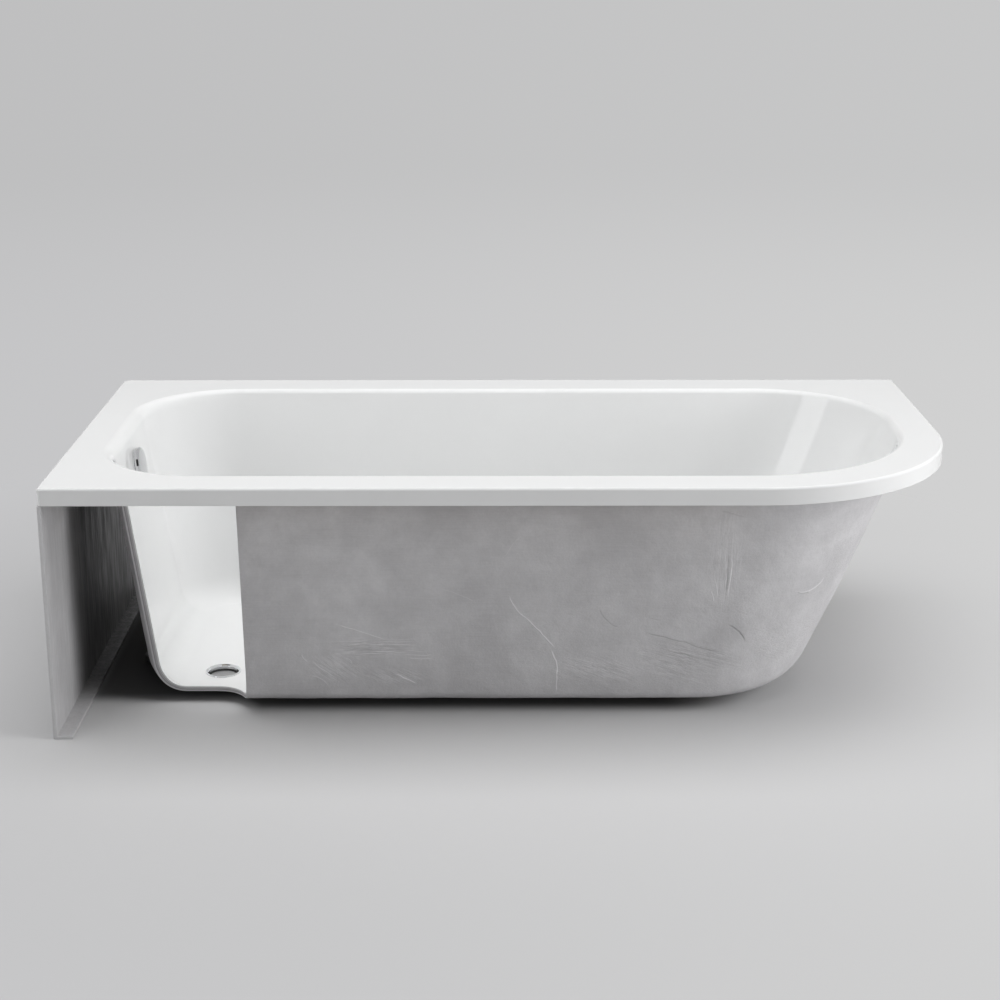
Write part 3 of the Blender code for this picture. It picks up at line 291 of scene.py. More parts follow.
class Graph:
    """Adds nodes to a tree and joins them."""

    def __init__(self, tree: bpy.types.NodeTree) -> None:
        """Keep the tree that the nodes go into."""
        self.tree = tree

    def node(self, kind: str, inputs: dict | None = None, **settings) -> bpy.types.Node:
        """Add a node.

        Args:
            kind: Blender's name of the node.
            inputs: Values or sockets, by input name or number.
            settings: Properties of the node.

        Returns:
            The new node.
        """
        made = self.tree.nodes.new(kind)
        for key, value in settings.items():
            setattr(made, key, value)
        for key, value in (inputs or {}).items():
            self.feed(made.inputs[key], value)
        return made

    def feed(self, socket: Socket, value: object) -> None:
        """Give a socket a value, or join another socket to it."""
        if isinstance(value, Socket):
            self.tree.links.new(value, socket)
        else:
            socket.default_value = value

    def maths(self, operation: str, *values: object, clamp: bool = False) -> Socket:
        """Join values with one operation of arithmetic."""
        made = self.node("ShaderNodeMath", dict(enumerate(values)), operation=operation,
                         use_clamp=clamp)
        return made.outputs[0]

    def times(self, first: object, second: object, clamp: bool = False) -> Socket:
        """One value times another."""
        return self.maths("MULTIPLY", first, second, clamp=clamp)

    def scaled_sum(self, value: object, gain: object, base: object) -> Socket:
        """A value times a gain, on top of a base."""
        return self.maths("MULTIPLY_ADD", value, gain, base)

    def vector(self, operation: str, *values: object) -> Socket:
        """Join vectors with one operation, whose result is a vector."""
        made = self.node("ShaderNodeVectorMath", dict(enumerate(values)), operation=operation)
        return made.outputs["Vector"]

    def distance(self, first: object, second: object) -> Socket:
        """Distance between two places."""
        made = self.node("ShaderNodeVectorMath", {0: first, 1: second}, operation="DISTANCE")
        return made.outputs["Value"]

    def axes(self, vector: object) -> bpy.types.bpy_prop_collection:
        """The X, Y and Z of a vector, by name."""
        return self.node("ShaderNodeSeparateXYZ", {0: vector}).outputs

    def mix(self, factor: object, first: object, second: object) -> Socket:
        """Mix two colours."""
        made = self.node("ShaderNodeMix", {0: factor, 6: first, 7: second}, data_type="RGBA")
        return made.outputs[2]

    def shades(self, mask: object, colour: Colour, low: float, high: float) -> Socket:
        """A colour that a mask takes from one factor of it to another."""
        return self.mix(mask, tint(colour, low), tint(colour, high))

    def remap(self, value: object, low: float, high: float, new_low: float = 0.0,
              new_high: float = 1.0) -> Socket:
        """Map a range of values smoothly to another."""
        made = self.node("ShaderNodeMapRange", {"Value": value, 1: low, 2: high, 3: new_low,
                                                4: new_high}, interpolation_type="SMOOTHSTEP")
        return made.outputs[0]

    def swing(self, mask: object, value: float, low: float, high: float) -> Socket:
        """A value that a mask takes from one factor of it to another."""
        return self.remap(mask, 0.0, 1.0, value * low, value * high)

    def noise(self, vector: object, scale: object, detail: float = 4.0,
              roughness: float = 0.55, distortion: float = 0.0) -> Socket:
        """Noise between 0 and 1."""
        made = self.node("ShaderNodeTexNoise", {"Vector": vector, "Scale": scale,
                                                "Detail": detail, "Roughness": roughness,
                                                "Distortion": distortion})
        return made.outputs["Fac"]

    def mapping(self, vector: object, setting: str, value: object) -> Socket:
        """Coordinates with one setting of a mapping, its Scale or its Rotation."""
        return self.node("ShaderNodeMapping", {"Vector": vector, setting: value}).outputs[0]

    def place(self) -> Socket:
        """Object coordinates of the piece."""
        return self.node("ShaderNodeTexCoord").outputs["Object"]

    def bump(self, height: object, distance: float, strength: float = 1.0) -> Socket:
        """Normal from a height between 0 and 1, whose real depth is the distance."""
        made = self.node("ShaderNodeBump", {"Height": height, "Distance": distance,
                                            "Strength": strength})
        return made.outputs[0]

    def effect(self, name: str, place: object, **values: object) -> Socket:
        """Place a shared effect and return its mask.

        Args:
            name: Name of the effect.
            place: Coordinates that it works on.
            values: Its other inputs, by name in lower case.

        Returns:
            The mask.
        """
        made = self.node("ShaderNodeGroup", node_tree=SharedEffects.made[name])
        self.feed(made.inputs["Vector"], place)
        for label, value in values.items():
            self.feed(made.inputs[label.title()], value)
        return made.outputs["Mask"]


class SharedEffects:
    """Node groups that several finishes place, each with its own values."""
    made: dict[str, bpy.types.NodeTree] = {}

    @staticmethod
    def start(name: str, **inputs: object) -> tuple[Graph, dict[str, Socket], Socket]:
        """Open a new group with a Vector, named inputs and one Mask output.

        Args:
            name: Name of the group.
            inputs: Default of each input, a number or three of them, by name in lower case.

        Returns:
            The graph, its input sockets by name, and the Mask socket to feed.
        """
        tree = bpy.data.node_groups.new(name, "ShaderNodeTree")
        for label, default in {"vector": ORIGIN, **inputs}.items():
            kind = "NodeSocketVector" if isinstance(default, tuple) else "NodeSocketFloat"
            socket = tree.interface.new_socket(label.title(), in_out="INPUT", socket_type=kind)
            socket.default_value = default
        tree.interface.new_socket("Mask", in_out="OUTPUT", socket_type="NodeSocketFloat")
        graph = Graph(tree)
        source = graph.node("NodeGroupInput").outputs
        target = graph.node("NodeGroupOutput")
        SharedEffects.made[name] = tree
        given = {label: source[label.title()] for label in ("vector", *inputs)}
        return graph, given, target.inputs["Mask"]

    @staticmethod
    def build_all() -> None:
        """Build every shared effect once."""
        SharedEffects.build_mottle()
        SharedEffects.build_strokes()
        SharedEffects.build_specks()
        SharedEffects.build_crease()

    @staticmethod
    def build_mottle() -> None:
        """Cloudy patches over three sizes, each a share of the whole."""
        graph, given, mask = SharedEffects.start("mottle", scale=6.0)
        place, scale = given["vector"], given["scale"]
        wide = graph.noise(place, scale, 3.0, 0.5, 0.4)
        middle = graph.noise(place, graph.times(scale, 3.7), 4.0)
        fine = graph.noise(place, graph.times(scale, 17.0), 5.0)
        clouds = graph.times(wide, 0.55)
        for layer, share in ((middle, 0.30), (fine, 0.15)):
            clouds = graph.scaled_sum(layer, share, clouds)
        graph.feed(mask, graph.remap(clouds, 0.34, 0.66))

    @staticmethod
    def build_strokes() -> None:
        """Long fine strokes, such as those of a roller, a brush or a saw."""
        graph, given, mask = SharedEffects.start("strokes", stretch=(10, 10, 300))
        drawn = graph.mapping(given["vector"], "Scale", given["stretch"])
        coarse = graph.noise(drawn, 1.0, 3.0, 0.6)
        fine = graph.noise(drawn, 3.1, 2.0, 0.6)
        graph.feed(mask, graph.remap(graph.maths("ADD", coarse, fine), 0.75, 1.25))

    @staticmethod
    def build_specks() -> None:
        """Round specks of dust in scattered patches."""
        graph, given, mask = SharedEffects.start("specks", scale=400.0, size=0.2)
        place = given["vector"]
        cells = graph.node("ShaderNodeTexVoronoi", {"Vector": place, "Scale": given["scale"]})
        edge = graph.maths("DIVIDE", cells.outputs["Distance"], given["size"])
        speck = graph.remap(edge, 0.6, 1.0, 1.0, 0.0)
        patches = graph.remap(graph.noise(place, 23.0), 0.45, 0.65)
        graph.feed(mask, graph.times(speck, patches))

    @staticmethod
    def build_crease() -> None:
        """A thin line along an arc in the X-Z plane, between two points of it."""
        graph, given, mask = SharedEffects.start("crease", centre=ORIGIN, radius=0.1,
                                                 width=0.002, middle=ORIGIN, reach=0.05)
        away = graph.distance(given["vector"], given["centre"])
        off = graph.maths("ABSOLUTE", graph.maths("SUBTRACT", away, given["radius"]))
        line = graph.remap(graph.maths("DIVIDE", off, given["width"]), 0.1, 1.0, 1.0, 0.0)
        along = graph.distance(given["vector"], given["middle"])
        ends = graph.remap(graph.maths("DIVIDE", along, given["reach"]), 0.55, 1.0, 1.0, 0.0)
        graph.feed(mask, graph.times(line, ends))


# Finishes


def new_material(name: str) -> tuple[Paint, Graph, bpy.types.Node]:
    """A new material with its graph and its Principled shader."""
    material = bpy.data.materials.new(name)
    material.use_nodes = True
    shader = material.node_tree.nodes["Principled BSDF"]
    return material, Graph(material.node_tree), shader


def tint(colour: Colour, factor: float = 1.0) -> tuple[float, float, float, float]:
    """A colour times a factor, with its alpha."""
    red, green, blue = colour
    return red * factor, green * factor, blue * factor, 1.0


@dataclass(frozen=True)
class Finish:
    """Base of the finishes. Each one says what its shader's inputs take."""

    def make(self, name: str) -> Paint:
        """Build the material.

        Args:
            name: Name of the material.

        Returns:
            The new material.
        """
        material, graph, shader = new_material(name)
        for label, value in self.inputs(graph, graph.place()).items():
            graph.feed(shader.inputs[label], value)
        return material

    def inputs(self, graph: Graph, place: Socket) -> dict[str, object]:
        """Values and sockets for the Principled shader.

        Args:
            graph: Graph of the material.
            place: Object coordinates.

        Returns:
            A value or a socket for each input, by its name.
        """
        raise NotImplementedError


@dataclass(frozen=True)
class GlossAcrylic(Finish):
    """White gloss sheet with faint waviness, handling haze and dust."""
    colour: Colour = (0.83, 0.835, 0.835)
    roughness: float = 0.04
    haze_scale: float = 3.0
    speck_scale: float = 260.0
    speck_size: float = 0.07
    ripple_scale: float = 9.0
    ripple_depth: float = 0.5 * MM
    peel_scale: float = 320.0
    peel_share: float = 0.003

    def inputs(self, graph: Graph, place: Socket) -> dict[str, object]:
        """Values and sockets for the Principled shader."""
        haze = graph.effect("mottle", place, scale=self.haze_scale)
        specks = graph.effect("specks", place, scale=self.speck_scale, size=self.speck_size)
        clean = graph.shades(haze, self.colour, 1.0, 0.985)
        smooth = graph.swing(haze, self.roughness, 0.85, 1.25)
        ripple = graph.noise(place, self.ripple_scale, 2.0, 0.4)
        peel = graph.noise(place, self.peel_scale, 2.0, 0.5)
        height = graph.scaled_sum(peel, self.peel_share, ripple)
        return {"Base Color": graph.mix(graph.times(specks, 0.05), clean,
                                        tint(self.colour, 0.8)),
                "Roughness": graph.scaled_sum(specks, 0.15, smooth),
                "Normal": graph.bump(height, self.ripple_depth, 0.5),
                "IOR": 1.49, "Coat Weight": 0.35, "Coat Roughness": 0.03}


@dataclass(frozen=True)
class SawnEdge(Finish):
    """Matt edge of a cut sheet with the fine marks of the saw."""
    colour: Colour
    roughness: float = 0.55
    saw_stretch: Triple = (900, 900, 160)
    saw_depth: float = 0.1 * MM

    def inputs(self, graph: Graph, place: Socket) -> dict[str, object]:
        """Values and sockets for the Principled shader."""
        marks = graph.effect("strokes", place, stretch=self.saw_stretch)
        return {"Base Color": graph.shades(marks, self.colour, 1.0, 0.9),
                "Roughness": graph.swing(marks, self.roughness, 1.0, 1.2),
                "Normal": graph.bump(marks, self.saw_depth, 0.4)}


@dataclass(frozen=True)
class LaminateEdge(Finish):
    """Cut face of the backing: two pale layers with a dark joint between them.

    A mesh attribute tells how far through the laminate a place is, from 0 to 1, and the
    joint and its width are in the same measure.
    """
    pale: Colour
    dark: Colour
    attribute: str
    joint: float = 0.56
    joint_width: float = 0.10
    waver: float = 0.12
    waver_scale: float = 160.0
    inner_fade: float = 0.15
    inner_dark: float = 0.35
    grain_scale: float = 900.0
    grain_depth: float = 0.2 * MM

    def inputs(self, graph: Graph, place: Socket) -> dict[str, object]:
        """Values and sockets for the Principled shader."""
        share = graph.node("ShaderNodeAttribute", attribute_name=self.attribute).outputs["Fac"]
        uneven = graph.scaled_sum(graph.noise(place, self.waver_scale), self.waver, share)
        middle = self.joint + self.waver / 2
        off = graph.maths("ABSOLUTE", graph.maths("SUBTRACT", uneven, middle))
        joint = graph.remap(off, self.joint_width * 0.4, self.joint_width * 1.6, 1.0, 0.0)
        inner = graph.remap(uneven, self.joint, self.joint + self.inner_fade,
                            self.inner_dark, 0.0)
        grains = graph.noise(place, self.grain_scale, 3.0)
        layer = graph.mix(inner, graph.shades(grains, self.pale, 0.92, 1.06),
                          tint(self.dark))
        return {"Base Color": graph.mix(joint, layer, tint(self.dark)),
                "Roughness": graph.remap(grains, 0.2, 0.8, 0.6, 0.85),
                "Normal": graph.bump(grains, self.grain_depth, 0.5)}


@dataclass(frozen=True)
class Crease:
    """One crease of the backing: an arc through three places of the X-Z plane.

    Places are in millimetres from the bath's middle and from the floor. A lift above zero
    is a ridge and gets a painted highlight, one below zero is a crack and gets painted shade.
    The least bow and the reach are shares of the chord.
    """
    start: Place
    middle: Place
    end: Place
    width: float = 1.8
    lift: float = 0.6
    least_bow: float = 1 / 300
    reach: float = 0.6

    def arc(self) -> dict[str, object]:
        """Centre, radius, width, middle and reach, as the crease effect wants them."""
        first, middle, last = (Vector((x * MM, 0, z * MM))
                               for x, z in (self.start, self.middle, self.end))
        chord = last - first
        side = Vector((-chord.z, 0, chord.x)).normalized()
        bow = (middle - (first + last) / 2).dot(side)
        bow = math.copysign(max(abs(bow), chord.length * self.least_bow), bow)
        radius = (chord.length ** 2 / 4 + bow ** 2) / (2 * abs(bow))
        top = (first + last) / 2 + side * bow
        centre = top - side * math.copysign(radius, bow)
        return {"centre": centre, "radius": radius, "width": self.width * MM, "middle": top,
                "reach": chord.length * self.reach}


# Creases and cracks in the backing's front
CREASES = (
    Crease((-343, 149), (-264, 149), (-182, 149), 1.5, 0.3),
    Crease((-313, 143), (-249, 144), (-181, 141), 1.7, 0.6),
    Crease((-258, 154), (-218, 154), (-178, 154), 1.3, 0.25),
    Crease((-316, 127), (-259, 128), (-202, 126), 1.7, 0.55),
    Crease((-340, 122), (-249, 123), (-202, 122), 1.4, 0.25),
    Crease((-202, 123), (-177, 120), (-150, 122), 1.5, 0.45),
    Crease((-196, 115), (-173, 113), (-151, 114), 1.5, 0.45),
    Crease((-203, 131), (-185, 129), (-164, 128), 1.3, 0.3),
    Crease((-327, 185), (-286, 171), (-241, 155), 1.7, 0.6),
    Crease((-399, 121), (-393, 113), (-387, 107), 1.6, 0.5),
    Crease((-375, 106), (-357, 89), (-338, 76), 1.7, 0.5),
    Crease((-384, 76), (-363, 71), (-350, 57), 1.6, 0.45),
    Crease((-277, 78), (-266, 73), (-253, 63), 1.6, 0.4),
    Crease((-218, 80), (-201, 71), (-183, 60), 2.0, 0.9),
    Crease((-316, 113), (-308, 110), (-303, 102), 1.5, 0.4),
    Crease((-4, 243), (7, 220), (26, 200), 1.9, 0.75),
    Crease((24, 202), (52, 172), (80, 138), 2.0, 0.9),
    Crease((76, 130), (84, 108), (87, 82), 2.3, 1.0),
    Crease((87, 88), (87, 65), (86, 43), 2.0, 0.7),
    Crease((-12, 326), (1, 348), (19, 368), 1.5, 0.2),
    Crease((-128, 258), (-100, 248), (-68, 231), 1.6, 0.2),
    Crease((408, 325), (408, 286), (404, 247), 1.9, 0.9),
    Crease((402, 325), (402, 286), (401, 255), 2.0, -0.6),
    Crease((395, 332), (398, 297), (399, 264), 1.5, 0.4),
    Crease((373, 253), (377, 243), (379, 233), 1.7, 0.6),
    Crease((380, 276), (383, 260), (387, 239), 1.6, 0.4),
    Crease((166, 218), (178, 195), (201, 179), 2.2, -0.5),
    Crease((258, 166), (291, 157), (327, 147), 2.2, -0.7),
    Crease((327, 148), (354, 136), (389, 127), 2.2, -0.7),
    Crease((409, 183), (426, 172), (442, 147), 2.6, -1.0),
    Crease((305, 125), (321, 123), (340, 116), 2.0, -0.5),
    Crease((384, 416), (407, 410), (427, 404), 2.2, -0.35),
    Crease((257, 199), (267, 196), (278, 193), 1.6, -0.3),
    Crease((93, 117), (140, 108), (192, 99), 1.6, 0.2),
    Crease((122, 100), (169, 91), (208, 76), 1.6, 0.2),
    Crease((275, 82), (323, 74), (371, 56), 1.8, 0.2),
    Crease((535, 242), (562, 233), (598, 258), 2.6, 0.6),
    Crease((540, 238), (552, 233), (566, 232), 2.4, -0.6),
)


@dataclass(frozen=True)
class WrinkleField:
    """A patch of fine parallel wrinkles on the backing's front.

    Middle and reach are in millimetres along X and Z, from the bath's middle and the floor.
    The slant is in degrees, and the flat level is the height of a wrinkle that leaves the
    face as it is.
    """
    middle: Place
    reach: Place
    slant: float
    lift: float = 0.7
    per_metre: float = 230.0
    flat_level: float = 0.34
    ragged: float = 0.9
    ragged_scale: float = 26.0
    solid_to: float = 0.75
    gone_at: float = 1.45

    def mask(self, graph: Graph, place: Socket) -> Socket:
        """Wrinkles around zero, faded out towards the patch's edge.

        Args:
            graph: Graph of the material.
            place: Object coordinates.

        Returns:
            Heights around zero, in the same measure as the lift of a crease.
        """
        x, z = (value * MM for value in self.middle)
        wide, high = (1 / (value * MM) for value in self.reach)
        near = graph.vector("SUBTRACT", place, (x, 0, z))
        away = graph.distance(graph.vector("MULTIPLY", near, (wide, 0, high)), ORIGIN)
        edge = graph.scaled_sum(graph.noise(place, self.ragged_scale, 3.0), self.ragged, away)
        inside = graph.remap(edge, self.solid_to, self.gone_at, 1.0, 0.0)
        turned = graph.mapping(place, "Rotation", (0, math.radians(self.slant), 0))
        lines = graph.effect("strokes", turned,
                             stretch=(self.per_metre / 13, 6, self.per_metre))
        around = graph.maths("SUBTRACT", lines, self.flat_level)
        return graph.times(graph.times(around, self.lift), inside)


# Patches of fine wrinkles in the backing's front
WRINKLES = (
    WrinkleField((-262, 136), (100, 27), 0, 0.85, 260),
    WrinkleField((-340, 92), (70, 42), -38, 0.60, 240),
    WrinkleField((-225, 74), (90, 22), -28, 0.60, 240),
    WrinkleField((330, 110), (130, 55), -16, 0.60, 210, 0.46),
    WrinkleField((170, 88), (130, 38), -22, 0.50, 220, 0.42),
    WrinkleField((398, 300), (45, 150), 88, 0.35, 170, 0.42),
)


@dataclass(frozen=True)
class HandLaidResin(Finish):
    """Grey hand-laid backing: mottled, rolled, with wrinkles and creases pressed in.

    The resin is painted paler from one place along X to another: painted light on the side
    towards the rounded end. The brush marks show most in a worked area towards the rounded
    end, low down. Ridges of the creases and wrinkles carry a painted highlight, cracks painted
    shade.
    """
    dark: Colour = (0.525, 0.518, 0.530)
    light: Colour = (0.705, 0.698, 0.710)
    roughness: float = 0.62
    painted_light_from: float = 0.10
    painted_light_to: float = 0.75
    painted_light_gain: float = 1.05
    patch_scale: float = 4.6
    blot_scale: float = 21.0
    grain_scale: float = 240.0
    lump_scale: float = 70.0
    roller_stretch: Triple = (14, 14, 420)
    brush_stretch: Triple = (55, 55, 330)
    brush_slant: float = math.radians(-24)
    relief: float = 0.6 * MM
    creases: tuple[Crease, ...] = CREASES
    wrinkles: tuple[WrinkleField, ...] = WRINKLES
    waver: float = 6 * MM
    waver_scale: float = 38.0

    def inputs(self, graph: Graph, place: Socket) -> dict[str, object]:
        """Values and sockets for the Principled shader."""
        patches = graph.effect("mottle", place, scale=self.patch_scale)
        blots = graph.effect("mottle", place, scale=self.blot_scale)
        rolled = graph.effect("strokes", place, stretch=self.roller_stretch)
        grain = graph.noise(place, self.grain_scale, 5.0, 0.7)
        lumps = graph.noise(place, self.lump_scale, 4.0, 0.62)
        lines = self.pressed_lines(graph, place)
        colour = self.resin_tone_with_painted_light(graph, place, patches)
        for share, over in ((graph.times(blots, 0.36), tint(self.dark, 0.86)),
                            (graph.times(rolled, 0.14), tint(self.light, 1.15)),
                            (graph.times(grain, 0.28), tint(self.dark, 0.62)),
                            # Painted highlight on raised creases and wrinkles, painted shade in
                            # the sunk ones.
                            (graph.times(lines, 0.52, clamp=True), tint(self.light, 1.5)),
                            (graph.times(lines, -0.50, clamp=True), tint(self.dark, 0.4))):
            colour = graph.mix(share, colour, over)
        height = self.brush_marks(graph, place)
        for layer, gain in ((grain, 1.5), (lumps, 2.2), (lines, 1.5)):
            height = graph.scaled_sum(layer, gain, height)
        return {"Base Color": colour,
                "Roughness": graph.swing(patches, self.roughness, 0.85, 1.15),
                "Normal": graph.bump(height, self.relief, 0.9)}

    def resin_tone_with_painted_light(self, graph: Graph, place: Socket, patches: Socket) -> Socket:
        """Tone of the bare resin in its patches, paler towards the rounded end as painted light.
        """
        # Painted light: the resin's tones are raised towards the rounded end.
        painted_light_mask = graph.remap(graph.axes(place)["X"], self.painted_light_from, self.painted_light_to)
        tones = [graph.mix(patches, tint(self.dark, gain), tint(self.light, gain))
                 for gain in (1.0, self.painted_light_gain)]
        return graph.mix(painted_light_mask, *tones)

    def brush_marks(self, graph: Graph, place: Socket) -> Socket:
        """Heights of slanting brush marks, highest in the worked area."""
        slanted = graph.mapping(place, "Rotation", (0, self.brush_slant, 0))
        brushed = graph.effect("strokes", slanted, stretch=self.brush_stretch)
        worked = self.worked_area(graph, place)
        return graph.times(brushed, graph.remap(worked, 0, 1, 0.12, 0.75))

    def worked_area(self, graph: Graph, place: Socket) -> Socket:
        """Mask of the part where brush marks show most: towards the rounded end, low down."""
        axes = graph.axes(place)
        along = graph.remap(axes["X"], -0.15, 0.40)
        down = graph.remap(axes["Z"], 0.34, 0.12)
        spots = graph.remap(graph.noise(place, 8.0), 0.38, 0.62)
        return graph.times(spots, graph.times(along, down))

    def wavered(self, graph: Graph, place: Socket) -> Socket:
        """Places flattened to the X-Z plane and moved a little, so that no line is smooth."""
        cloud = graph.node("ShaderNodeTexNoise", {"Vector": place, "Scale": self.waver_scale,
                                                  "Detail": 3.0}).outputs["Color"]
        around = graph.vector("SUBTRACT", cloud, (0.5, 0.5, 0.5))
        moved = graph.vector("ADD", place,
                             graph.vector("MULTIPLY", around, (self.waver,) * 3))
        return graph.vector("MULTIPLY", moved, (1, 0, 1))

    def pressed_lines(self, graph: Graph, place: Socket) -> Socket:
        """Sum of the masks of every crease and wrinkle, on the front alone."""
        front = graph.remap(graph.axes(place)["Y"], -0.05, 0.05, 1.0, 0.0)
        flat = self.wavered(graph, place)
        total: object = 0.0
        for crease in self.creases:
            mask = graph.effect("crease", flat, **crease.arc())
            total = graph.scaled_sum(mask, crease.lift, total)
        for wrinkle in self.wrinkles:
            total = graph.maths("ADD", total, wrinkle.mask(graph, place))
        return graph.times(total, front)


@dataclass(frozen=True)
class FacedBoard(Finish):
    """Grey faced board with fine upright streaks.

    Below a level of 1, painted shade darkens the face away from its front edge: the tub's
    shadow on the face towards the tub, with streaky painted reflections in it.
    """
    colour: Colour = (0.52, 0.515, 0.525)
    painted_shade_level: float = 1.0
    painted_shade_from: float = -310 * MM
    painted_shade_to: float = -110 * MM
    roughness: float = 0.38
    streak_stretch: Triple = (90, 90, 5)
    streak_depth: float = 0.2 * MM
    painted_reflection_stretch: Triple = (16, 16, 5)
    patch_scale: float = 7.0

    def inputs(self, graph: Graph, place: Socket) -> dict[str, object]:
        """Values and sockets for the Principled shader."""
        streaks = graph.effect("strokes", place, stretch=self.streak_stretch)
        patches = graph.effect("mottle", place, scale=self.patch_scale)
        face = graph.mix(graph.times(streaks, 0.30),
                         graph.shades(patches, self.colour, 0.94, 1.06),
                         tint(self.colour, 0.8))
        # Painted shade on the face towards the tub, darker away from its front edge.
        if self.painted_shade_level < 1:
            painted_shade_mask = graph.remap(graph.axes(place)["Y"], self.painted_shade_from, self.painted_shade_to)
            # Painted reflections: upright streaks that lighten and darken the painted shade.
            painted_reflection_streaks = graph.effect("strokes", place, stretch=self.painted_reflection_stretch)
            painted_shade_tone = graph.shades(painted_reflection_streaks, self.colour, self.painted_shade_level * 0.75, self.painted_shade_level * 1.3)
            face = graph.mix(painted_shade_mask, face, painted_shade_tone)
        return {"Base Color": face,
                "Roughness": graph.swing(streaks, self.roughness, 0.8, 1.3),
                "Normal": graph.bump(streaks, self.streak_depth, 0.35)}


@dataclass(frozen=True)
class PlainMetal(Finish):
    """Metal with fine marks: polished chrome, brushed metal or zinc-plated steel."""
    colour: Colour
    roughness: float
    marks: float
    mark_stretch: Triple = (700, 60, 700)
    mark_depth: float = 0.02 * MM
    patch_scale: float = 30.0

    def inputs(self, graph: Graph, place: Socket) -> dict[str, object]:
        """Values and sockets for the Principled shader."""
        patches = graph.effect("mottle", place, scale=self.patch_scale)
        strokes = graph.effect("strokes", place, stretch=self.mark_stretch)
        worn = graph.times(strokes, patches)
        return {"Base Color": graph.shades(graph.times(worn, self.marks), self.colour,
                                           1.0, 0.75),
                "Roughness": graph.remap(worn, 0, 1, self.roughness,
                                         self.roughness + self.marks * 0.4),
                "Normal": graph.bump(strokes, self.mark_depth, self.marks), "Metallic": 1.0}


@dataclass(frozen=True)
class MouldedPlastic(Finish):
    """Moulded plastic or rubber with a fine grain and some dust."""
    colour: Colour
    roughness: float
    grain_scale: float = 700.0
    grain_depth: float = 0.08 * MM
    dust_colour: Colour = (0.3, 0.3, 0.3)
    dust_scale: float = 22.0

    def inputs(self, graph: Graph, place: Socket) -> dict[str, object]:
        """Values and sockets for the Principled shader."""
        grain = graph.noise(place, self.grain_scale, 3.0)
        dust = graph.effect("mottle", place, scale=self.dust_scale)
        return {"Base Color": graph.mix(graph.times(dust, 0.12), tint(self.colour),
                                        tint(self.dust_colour)),
                "Roughness": graph.swing(dust, self.roughness, 0.85, 1.15),
                "Normal": graph.bump(grain, self.grain_depth, 0.5)}


@dataclass(frozen=True)
class ParticleBoard(Finish):
    """Raw particle board: pressed chips of several browns."""
    dark: Colour = (0.24, 0.15, 0.08)
    light: Colour = (0.56, 0.42, 0.26)
    chip_stretch: Triple = (1.0, 2.2, 2.2)
    chip_scale: float = 190.0
    chip_depth: float = 0.3 * MM
    patch_scale: float = 12.0

    def inputs(self, graph: Graph, place: Socket) -> dict[str, object]:
        """Values and sockets for the Principled shader."""
        chips = graph.node("ShaderNodeTexVoronoi", {
            "Vector": graph.mapping(place, "Scale", self.chip_stretch),
            "Scale": self.chip_scale})
        spread = graph.node("ShaderNodeSeparateColor", {0: chips.outputs["Color"]}).outputs[0]
        patches = graph.effect("mottle", place, scale=self.patch_scale)
        return {"Base Color": graph.mix(graph.times(patches, 0.3),
                                        graph.mix(spread, tint(self.dark), tint(self.light)),
                                        tint(self.light)),
                "Roughness": graph.remap(spread, 0, 1, 0.7, 0.92),
                "Normal": graph.bump(spread, self.chip_depth, 0.6)}


LAYER_ATTRIBUTE = "laminate_layer"


class Finishes:
    """Every material of the bath, each made once."""

    def __init__(self) -> None:
        """Make the materials."""
        SharedEffects.build_all()
        self.acrylic = GlossAcrylic().make("gloss_acrylic")
        self.acrylic_edge = SawnEdge((0.80, 0.805, 0.805)).make("acrylic_sawn_edge")
        self.backing = HandLaidResin().make("hand_laid_resin")
        self.backing_edge = LaminateEdge((0.60, 0.595, 0.605), (0.27, 0.265, 0.275),
                                         LAYER_ATTRIBUTE).make("laminate_edge")
        self.panel = FacedBoard().make("grey_faced_board")
        # The face towards the tub carries painted shade.
        self.panel_inside_painted_shade = FacedBoard(painted_shade_level=0.20, roughness=0.5).make("grey_board_inside_painted_shade")
        self.panel_edge = SawnEdge((0.60, 0.595, 0.605)).make("board_sawn_edge")
        self.board = ParticleBoard().make("particle_board")
        self.chrome = PlainMetal((0.90, 0.91, 0.92), 0.05, 0.12).make("polished_chrome")
        self.soft_chrome = PlainMetal((0.68, 0.685, 0.695), 0.12, 0.15).make("soft_chrome")
        self.satin = PlainMetal((0.50, 0.495, 0.50), 0.34, 0.25).make("satin_plug_metal")
        self.steel = PlainMetal((0.56, 0.57, 0.58), 0.28, 0.35).make("zinc_plated_steel")
        self.plastic = MouldedPlastic((0.085, 0.085, 0.087), 0.5).make("black_moulded_plastic")
        self.rubber = MouldedPlastic((0.02, 0.02, 0.02), 0.75, 300.0).make("black_rubber")
        self.hose = MouldedPlastic((0.30, 0.30, 0.31), 0.5).make("grey_hose_plastic")

    def of_slot(self, slot: Slot) -> Paint:
        """The material that stands for a slot of the record."""
        return {Slot.ACRYLIC: self.acrylic, Slot.BACKING: self.backing, Slot.PANEL: self.panel,
                Slot.BOARD: self.board, Slot.CHROME: self.chrome, Slot.STEEL: self.steel,
                Slot.PLASTIC: self.plastic, Slot.HOSE: self.hose,
                Slot.RUBBER: self.rubber}[slot]


# The tub


@dataclass(frozen=True)
class Wall:
    """One wall of the basin: run from edge to floor, its two radii and its bulge."""
    run: float
    lip: float
    floor: float
    bulge: float = 0.0


@dataclass(frozen=True)
class Corner:
    """One corner of the basin in plan: radius at the rim and at the floor, and steps.

    The side steps divide the straight that follows the corner.
    """
    top: float
    floor: float
    steps: int
    side_steps: int


